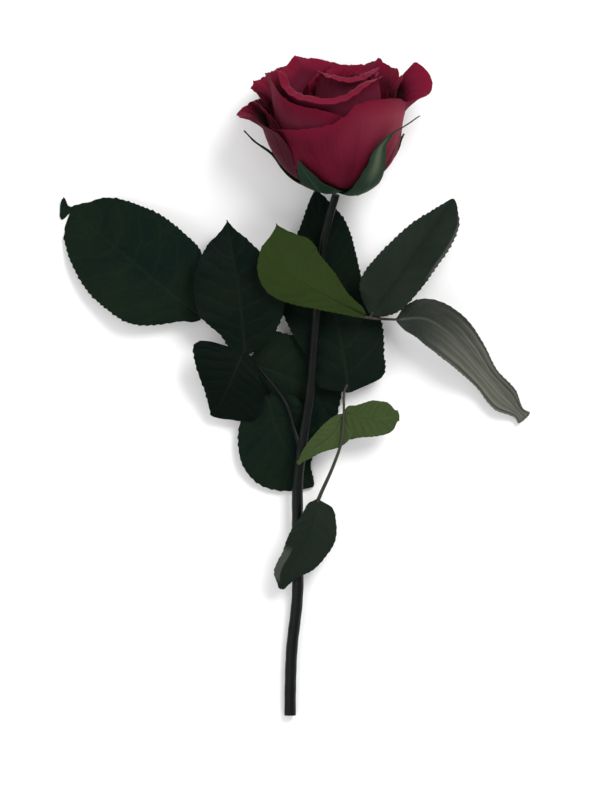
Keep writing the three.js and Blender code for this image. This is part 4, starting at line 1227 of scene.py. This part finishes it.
# %% The shapes of the petals, from the outside in
GUARD = ((6.4, 0.6), 85, 18.3, 9)
MIDDLE = ((5.0, 2.2), 78, 15.6, 6)
INNER = ((4.2, 3.4), 66, 12.5, 1)
TIGHT = ((3.2, 4.6), 56, 10, 0)
PETALS = {
    "guard_front": dict(
        shape=GUARD,
        turn=6, half=82, length=61, stations=17,
        layer=[0.5, 0.5, 0.5, 0.6, 0.5], ruffle=0.2,
        seen=[(-15.3, 120.8), (-12.6, 117.7), (-9.4, 116.3), (-4, 116.1), (1.8, 116.3),
            (8.6, 116.8), (14.4, 117.7), (18.5, 119), (21.6, 121.7), (24.3, 124.9), (27, 127.4),
            (32.4, 128.9), (37.8, 129.8), (43.2, 130.3), (46.8, 129.4), (50.4, 127.6)],
        lip=[(-70, 7), (0, 7), (30, 9), (60, 9), (86, 9)],
        roll=[(-70, 36), (-55, 20), (-40, 6), (-20, -2), (0, -4), (10, 0), (30, -2), (45, 0),
            (60, 0), (75, 4), (86, 16)],
        # painted sheen on the upper right of this petal
        spread=0.8, painted_sheen=0.8,
    ),
    "guard_left": dict(
        shape=((6.4, 0.6), 85, 20.5, 13),
        turn=-86, half=42, length=59, stations=17,
        layer=[1.2, 0.6, 0, -0.8, -1.6], ruffle=0.3,
        pinned=[(-123.8, -15.3, 130.3, 12), (-118, -17.1, 130.3, 12), (-106.5, -19.3, 128.9, 13),
            (-96.4, -23.4, 126.7, 14), (-90, -25.9, 124.4, 15), (-86, -26.6, 122.6, 15),
            (-80, -25.2, 121.3, 15), (-75.6, -22.5, 120.5, 15), (-65.5, -17.5, 118.8, 14),
            (-56, -12.6, 115.4, 10), (-48, -8.1, 111.8, 8)],
        most_roll=110,
        # painted shadow where the front petal overlaps this one
        crease=0.75,
    ),
    "guard_right": dict(
        shape=((6.4, 0.6), 90, 21, 1),
        turn=92, half=34, length=62, stations=33,
        layer=[-2.8, -0.8, 0, 0.6, 1.2], ruffle=0.2,
        pinned=[(61, 44.1, 126.2, 12), (73, 49.1, 127.4, 12), (80, 52.2, 128.6, 13),
            (88, 56.3, 130.1, 14), (93, 59.2, 130.7, 15), (98, 61, 133.4, 18), (102, 61.7, 137, 20),
            (106, 60.6, 140.6, 20), (110, 58.1, 144, 19), (113, 55.4, 146, 18),
            (115.5, 52.9, 147.4, 17), (117.5, 52.2, 144.2, 17), (119, 51.8, 141.5, 16),
            (120.5, 51.1, 138.8, 15), (122.6, 47.7, 135.7, 14)],
        most_roll=[(100, 112), (106, 100), (114, 74)],
        ragged=0.15,
    ),
    "guard_back_left": dict(
        shape=GUARD,
        turn=-132, half=42, length=60, stations=33,
        layer=[1.2, 0, -1.2], ruffle=0.4,
        pinned=[(-170, 5.9, 146.5, 12), (-165, 4.1, 146.9, 12), (-152, -1.9, 146.4, 12),
            (-142, -5.8, 144.2, 12), (-132, -11.2, 141.7, 14), (-121.6, -14.8, 139.7, 14),
            (-118, -16.2, 138.6, 14), (-114, -18, 137.7, 14), (-110.5, -20, 136.6, 13),
            (-108.5, -19.3, 135.2, 13), (-106, -20.7, 134.3, 12), (-103, -20.7, 133, 12),
            (-99, -18.7, 131.9, 12), (-94, -16.6, 129.8, 10)],
        most_roll=96,
        ragged=0.5, shade=0.2,
    ),
    "guard_back": dict(
        shape=GUARD,
        turn=176, half=46, length=58, stations=17,
        layer=[-1.2, -0.4, -1.2], ruffle=0.3,
        seen=[(45.5, 140.2), (40.1, 141.1), (35.6, 143.8), (28.8, 144.5), (22.1, 144.9),
            (17.6, 145.6), (13.1, 146.9), (4.1, 147.2), (-1.8, 144.7)],
        lip=10,
        roll=[(130, 20), (150, 40), (176, 52), (200, 40), (220, 20)],
        shade=0.4,
    ),
    "middle_low": dict(
        shape=((5.6, 1.4), 82, 17.0, 8),
        turn=-42, half=63, length=62, stations=17,
        layer=[0, 0, 0], ruffle=0.2,
        seen=[(-12.1, 141.5), (-10.6, 137.9), (-9, 134.3), (-6.3, 131.2), (-3.1, 128.7),
            (0.5, 127.1), (5.4, 125.8), (11.7, 124.4), (17.6, 122.9), (22.1, 121.1), (27, 118.6)],
        lip=8,
        roll=[(-99, 20), (-90, 12), (-75, 8), (-60, 6), (-40, 4), (-20, 6), (15, 8)],
        ragged=0.15, shade=0.45,
    ),
    "middle_front": dict(
        shape=MIDDLE,
        turn=-20, half=74, length=66, stations=17,
        layer=[0, 0.3, 0.4], ruffle=0.15,
        seen=[(-8.5, 142.9), (-7.4, 138.4), (-5.8, 134.8), (-3.1, 131.9), (0.5, 129.6),
            (5.9, 128.3), (11.7, 127.6), (16.7, 127.8), (21.2, 128.7), (25.2, 130.5), (28.8, 133),
            (32.4, 135.7), (36, 138.4), (39.6, 140.2), (43.2, 141.1)],
        lip=[(-86, 6), (-70, 8), (-50, 9), (-35, 10), (0, 10), (30, 9), (60, 7)],
        roll=[(-90, 0), (-80, 10), (-72, 24), (-64, 42), (-56, 64), (-45, 86), (-30, 98), (0, 106),
            (15, 104), (28, 90), (40, 60), (52, 30)],
        ragged=0.2, shade=0.35,
    ),
    "middle_right": dict(
        shape=MIDDLE,
        turn=92, half=46, length=62, stations=9,
        layer=[-1, 0, 1], ruffle=0.3,
        rim=[0.86, 0.78, 0.76, 0.735, 0.715, 0.7, 0.75, 0.755, 0.72],
        lip=8,
        roll=4,
        shade=0.6,
    ),
    "middle_back_right": dict(
        shape=((5.6, 1.4), 82, 17.0, 8),
        turn=135, half=44, length=60, stations=33,
        layer=[-1.6, 0, -1], ruffle=0.3,
        seen=[(48.2, 137), (49, 137.9), (49.4, 138.6), (48.7, 139.5), (47.9, 138.5), (47.3, 138.6),
            (46.8, 141.2), (46.1, 143.2), (42.4, 144.4), (39.6, 145.8), (37.8, 148.5), (36, 146.9),
            (32.4, 145.6), (27.9, 144.7), (22.1, 144.5), (17.6, 144.7)],
        lip=9,
        roll=[(94, 20), (105, 40), (115, 36), (125, 30), (135, 32), (142, 36), (150, 44), (160, 40),
            (175, 20)],
        shade=0.4,
    ),
    "middle_back_left": dict(
        shape=MIDDLE,
        turn=-152, half=48, length=61, stations=33,
        layer=[1, 0, -1], ruffle=0.3,
        seen=[(-11.7, 136.6), (-10.3, 139.7), (-7.6, 142.2), (-4, 144.7), (-1.8, 147.8),
            (-0.5, 149.2), (1.4, 148.4), (6.3, 147.7), (10.8, 147.6), (14.4, 147.2), (18.9, 145.6),
            (24.3, 144.2)],
        lip=8,
        roll=[(-200, 30), (-175, 40), (-150, 50), (-140, 50), (-125, 44), (-108, 20)],
        ragged=0.3, shade=0.4,
    ),
    "middle_left": dict(
        shape=((6.0, 1.0), 84, 18.4, 12),
        turn=-96, half=36, length=60, stations=17,
        layer=[0, 0, 0, -1.4, -3], ruffle=0.3,
        rim=[0.78, 0.79, 0.8, 0.815, 0.835, 0.84, 0.84, 0.845, 0.853, 0.863, 0.872, 0.875,
            0.865, 0.83, 0.79, 0.76, 0.74],
        lip=[(-128, 8), (-96, 10), (-64, 8)],
        roll=[(-128, 20), (-110, 36), (-96, 46), (-84, 40), (-72, 24), (-64, 10)],
        ragged=0.2, shade=0.7,
    ),
    "inner_front": dict(
        shape=INNER,
        turn=8, half=62, length=50, stations=9,
        layer=[0.9, 0.6, 0.9], ruffle=0.3,
        seen=[(1.8, 134.8), (5.4, 132.5), (9.9, 131.2), (15.3, 130.7), (22.1, 131.2), (27.9, 133),
            (32.4, 135.7)],
        lip=6,
        roll=16,
        sway=0.5 * HEART_SWAY, shade=0.4,
    ),
    "inner_right": dict(
        shape=INNER,
        turn=126, half=62, length=55, stations=17,
        layer=[-0.9, 0, 0.9], ruffle=0.3,
        seen=[(34.3, 136.4), (36.9, 139.3), (37.8, 141.3), (36, 142.7), (31.1, 142.9),
            (26.6, 142.7), (21.2, 143.3), (15.3, 144.7), (11.7, 145.6)],
        lip=6,
        roll=[(64, 10), (90, 30), (126, 46), (160, 40), (188, 10)],
        sway=0.5 * HEART_SWAY, ragged=0.1, shade=0.5,
    ),
    "inner_left": dict(
        shape=INNER,
        turn=-112, half=62, length=55, stations=17,
        layer=[-0.9, 0, -0.9], ruffle=0.3,
        seen=[(22.1, 143.8), (17.6, 144.5), (13.1, 144), (9.9, 141.5), (6.3, 137.9), (3.2, 134.3),
            (1.8, 130.7)],
        lip=6,
        roll=[(-174, 10), (-150, 30), (-112, 30), (-80, 20), (-50, 10)],
        sway=0.5 * HEART_SWAY, ragged=0.1, shade=0.5,
    ),
    "tight_front": dict(
        shape=TIGHT,
        turn=14, half=70, length=54, stations=17,
        layer=[0.8, 0.4, 0.8], ruffle=0.15,
        seen=[(8.1, 145.6), (9.5, 143.6), (11.3, 142), (13.5, 140.4), (16.7, 139.1), (20.3, 137.9),
            (24.3, 137.5), (27.9, 137.9), (31.1, 139.1), (33.8, 140.6), (36, 142.4), (37.8, 144.7)],
        lip=9,
        roll=[(-56, 36), (-40, 70), (-20, 98), (10, 110), (40, 98), (66, 70), (84, 36)],
        sway=HEART_SWAY, ragged=0.2, shade=0.5,
    ),
    "tight_right": dict(
        shape=TIGHT,
        turn=132, half=66, length=52, stations=9,
        layer=[-0.8, 0, 0.8], ruffle=0.2,
        seen=[(35.1, 138.4), (34.2, 140.6), (32.4, 141.5), (26.6, 141.1), (22.1, 141.5),
            (17.6, 142.9), (13.1, 143.8)],
        lip=5,
        roll=[(66, 10), (132, 46), (198, 10)],
        sway=HEART_SWAY, ragged=0.1, shade=0.5,
    ),
    "tight_left": dict(
        shape=TIGHT,
        turn=-108, half=66, length=52, stations=9,
        layer=[-0.8, 0, -0.8], ruffle=0.2,
        seen=[(7.2, 136.6), (9, 139.3), (11.3, 141.5), (15.3, 142.7), (19.8, 142.4), (24.3, 142)],
        lip=5,
        roll=[(-174, 10), (-108, 30), (-42, 10)],
        sway=HEART_SWAY, ragged=0.1, shade=0.5,
    ),
}


# %% Make the petals
petals = []
for k, (name, petal) in enumerate(PETALS.items()):
    piece = petal_piece(f"rose_petal_{name}", fitted(petal), 20.0 + 3.1 * k)
    petals.append(finish_piece(piece, "petal", f"petal_{name}"))
report("petals", petals)

# %% [markdown]
# ### The heart
#
# In the middle the petals are still wound tightly round each other. Seven small ones and a
# thin core, joined into one piece, are enough to show the spiral.


# %% Make the heart
HEART_ROWS = 56
HEART_COLUMNS = 48


def heart_petal(foot, start, bowl, turn, half, length, twist, roll):
    return dict(
        shape=(foot, start, bowl, 0),
        turn=turn,
        half=half,
        length=length,
        layer=[-twist, 0, twist],
        ruffle=0.15,
        rim=[0.92, 1, 1, 1, 0.92],
        lip=[4, 5, 5, 5, 4],
        roll=[0, roll, roll, roll, 0],
        sway=HEART_SWAY,
        ragged=0.2,
    )


def make_heart():
    line = Line(in_bloom(0, 0, [5.6, 20, 33, 46], HEART_SWAY))
    core = rod_piece("core", rings_round(line, lambda t: 2.6 - 1.6 * t**3, 40, 20))
    for name in ("rim", "painted_sheen", "painted_hollow_light", "painted_crease_shadow"):
        store(core, name, np.zeros(len(core.data.vertices)))
    set_finishes(core, petal_outer, petal_inner)
    shapes = [heart_petal((0.8, 6.6), 34, 3.8, 120, 100, 45.5, 0.5, 24)]
    for k in range(3):
        shapes.append(heart_petal((1.6, 6.6), 52, 7.4, 70 + 120 * k, 74, 47 + 0.5 * k, 0.9, 40))
        shapes.append(heart_petal((1.2, 6.6), 46, 5.2, 10 + 120 * k, 78, 46 + 0.5 * k, 0.8, 30))
    parts = []
    for k, shape in enumerate(shapes):
        parts.append(petal_piece(f"heart_{k}", shape, 80.0 + 2.3 * k, HEART_ROWS, HEART_COLUMNS))
    heart = join("rose_heart", [*parts, core])
    shade(heart)
    return finish_piece(heart, "petal", "heart")


heart = make_heart()
report("heart", [heart])

# %% [markdown]
# ## The calyx
#
# Five narrow sepals spring from the green hip under the petals. They cling to the bowl of
# the bloom for a while, and some of them curl away at the tip. A sepal has a midrib and a
# fringe of fine hairs, and one or two of the five carry small side lobes.

# %% The sepals
HIP_LENGTH = 3.4
HIP_RADIUS = 5.4
SEPAL_STANDOFF = 2.5
SEPALS = {
    "front_left": dict(turn=-21, drift=-14, cling=30, free=[], wide=[5.0, 7.6, 8.0, 5.0, 1.0]),
    "left": dict(
        turn=-95,
        cling=18,
        free=[(29.2, -94, 14.4), (36.4, -94, 19.8), (41.4, -94, 25.0)],
        wide=[4.8, 4.8, 4, 2.8, 1.8, 1.1, 0.7],
    ),
    "right_front": dict(
        turn=36,
        cling=0,
        free=[(8.6, 36, -1.8), (15.6, 36, -1.6), (22.0, 36, 2.6), (26.4, 36.5, 9.0)]
        + [(29.6, 37, 16.0), (31.4, 38.5, 24.0), (32.2, 43.5, 27.4), (33, 49.5, 30)]
        + [(38.6, 52.4, 33.8), (45.6, 54.6, 39.2)],
        wide=[4.8, 7.0, 8.0, 7.6, 6.6, 4.6, 2.4, 1.4, 0.9, 0.6],
        pale=0.9,
        lobes=0.5,
    ),
    "right": dict(
        turn=110,
        cling=13,
        free=[(27.6, 110, 11.6), (29.8, 109, 16.0), (32.2, 108, 20.0)],
        wide=[4.8, 5.2, 4.2, 3.4, 2.6, 0.7],
    ),
    "back": dict(turn=172, cling=17, free=[], wide=[4.8, 5, 3.4, 0.9]),
}


def clinging(sepal):
    """Points just outside the guard petals, up to the length along which the sepal clings."""
    points = []
    if not sepal["cling"]:
        return points
    for s in np.linspace(5, sepal["cling"], 5):
        turn = sepal["turn"] + sepal.get("drift", 0.0) * (s / sepal["cling"]) ** 2
        r, h, angle = petal_line(GUARD, 2, np.array([s]), np.array([0.01]), np.array([0.0]), 60)
        standoff = SEPAL_STANDOFF * smooth(s, -4, 5)
        r, h, angle = r[-1, 0], h[-1, 0], angle[-1, 0]
        points.append(in_bloom(r + standoff * np.cos(angle), turn, h - standoff * np.sin(angle)))
    return points


# %% Lay out one sepal
def sepal_surface(sepal, rows, columns, seed):
    line = [in_bloom(4.2, sepal["turn"], -1.5)]
    line += clinging(sepal)
    line += [in_bloom(r, turn, h) for r, turn, h in sepal["free"]]
    spine = Line(line)
    base = in_bloom(0, 0, 0)
    upward = unit(in_bloom(0, 0, 1) - base)
    share = np.linspace(0, 1, rows)
    centre, ahead = spine.at(share), spine.ahead(share)
    outward = centre - base
    outward = outward - (outward @ upward)[:, None] * upward
    radius = np.maximum(np.linalg.norm(outward, axis=1), 14)[:, None]
    aside = unit(np.cross(upward, outward))
    inward = unit(np.cross(ahead, aside))
    c = np.linspace(-1, 1, columns)[None, :]
    half = along(sepal["wide"], 2 * share - 1)[:, None]
    hairs = 0.16 * waver(share, seed, 60)[:, None] * smooth(share, 0.2, 0.5)[:, None]
    lobes = sepal.get("lobes", 0.0) * np.maximum(0, waver(share, seed + 1, 15))[:, None]
    reach = c * (half + (hairs + lobes) * smooth(np.abs(c), 0.6, 1))
    fold = 0.22 * np.abs(c) * half * smooth(share, 0.3, 0.9)[:, None]
    points = centre[:, None] + aside[:, None] * reach[..., None]
    points += inward[:, None] * (reach**2 / (2 * radius) - fold)[..., None]
    vein = np.exp(-((reach / 0.35) ** 2))
    pale = sepal.get("pale", 0.0) * np.exp(-((c / 0.42) ** 2)) * smooth(share, 0.3, 0.5)[:, None]
    return points, vein, pale * (1 - smooth(share, 0.62, 0.78)[:, None])


# %% Make the hip and the sepals
SEPAL_ROWS = 110
SEPAL_COLUMNS = 17
SEPAL_THICKNESS = 0.7


def hip_radius(share):
    return mix(STEM_NECK_RADIUS + 0.2, HIP_RADIUS, smooth(share, 0, 0.75))


def make_calyx():
    hip_line = Line([in_bloom(0, 0, h) for h in (-HIP_LENGTH, -1.8, -0.1)])
    hip = rod_piece("hip", rings_round(hip_line, hip_radius, 40, 40))
    for name in ("vein", "pale"):
        store(hip, name, np.zeros(len(hip.data.vertices)))
    set_finishes(hip, sepal_outer, sepal_inner)
    parts = [hip]
    for k, (name, sepal) in enumerate(SEPALS.items()):
        surface, vein, pale = sepal_surface(sepal, SEPAL_ROWS, SEPAL_COLUMNS, 60.0 + 3.3 * k)
        blade = grid_object(f"sepal_{name}", surface)
        store(blade, "vein", vein)
        store(blade, "pale", pale)
        set_finishes(blade, sepal_outer, sepal_inner)
        rib = np.maximum(vein * (1 - 0.6 * np.linspace(0, 1, SEPAL_ROWS)[:, None]), 0.45)
        thicken(blade, SEPAL_THICKNESS, rib)
        parts.append(blade)
    calyx = join("rose_calyx", parts)
    shade(calyx)
    return finish_piece(calyx, "calyx", "calyx")


calyx = make_calyx()
report("calyx", [calyx])

# %% [markdown]
# ## The table, the light and the camera
#
# The rose lies on a plain pale surface. A large soft light stands high on the far right, so
# that the lips of the petals catch it, and the pale room fills the shadows.


# %% A plain floor
FLOOR_SIZE = 9
FLOOR_LEVEL = -0.0004


def make_floor():
    clean_selection()
    bpy.ops.mesh.primitive_plane_add(size=FLOOR_SIZE, location=(0, 0, FLOOR_LEVEL))
    floor = bpy.context.object
    floor.name = "floor"
    material, tree, shader = new_finish("floor_white", Roughness=0.9, Specular_IOR_Level=0.1)
    shader.inputs["Base Color"].default_value = (0.9, 0.9, 0.9, 1)
    floor.data.materials.append(material)
    return floor


floor = make_floor()
print("the floor is", FLOOR_SIZE, "m wide")


# %% Soft lights
def soft_light(name, place, size, power):
    data = bpy.data.lights.new(name, "AREA")
    data.shape = "DISK"
    data.size = size
    data.energy = power
    light = bpy.data.objects.new(name, data)
    bpy.context.scene.collection.objects.link(light)
    light.location = place
    light.rotation_euler = Vector(place).to_track_quat("Z", "Y").to_euler()
    light.visible_camera = False
    return light


key_light = soft_light("key_light", (0.7, 0.9, 1.4), 0.9, 23)
fill_light = soft_light("fill_light", (-1.1, -0.5, 1.3), 1.4, 8)
print("lights:", key_light.name, fill_light.name)

world = bpy.data.worlds.new("pale_room")
world.use_nodes = True
background = world.node_tree.nodes["Background"]
background.inputs["Color"].default_value = (1, 1, 1, 1)
background.inputs["Strength"].default_value = 0.83
bpy.context.scene.world = world
bpy.context.scene.view_settings.view_transform = "Standard"


# %% The camera looks straight down
FRAME_HEIGHT = 0.36
SENSOR_WIDTH = 36


def make_camera():
    data = bpy.data.cameras.new("camera")
    data.sensor_width = SENSOR_WIDTH
    data.lens = SENSOR_WIDTH * (CAMERA_HEIGHT - FOCUS_HEIGHT) / FRAME_HEIGHT
    data.clip_end = 100
    camera = bpy.data.objects.new("camera", data)
    bpy.context.scene.collection.objects.link(camera)
    camera.location = (*CAMERA_PLACE, CAMERA_HEIGHT)
    bpy.context.scene.camera = camera
    return camera


camera = make_camera()
print("the camera stands", CAMERA_HEIGHT, "m high, with a lens of", round(camera.data.lens), "mm")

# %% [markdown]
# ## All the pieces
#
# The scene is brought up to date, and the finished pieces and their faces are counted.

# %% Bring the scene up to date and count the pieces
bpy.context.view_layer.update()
report("all pieces", made)
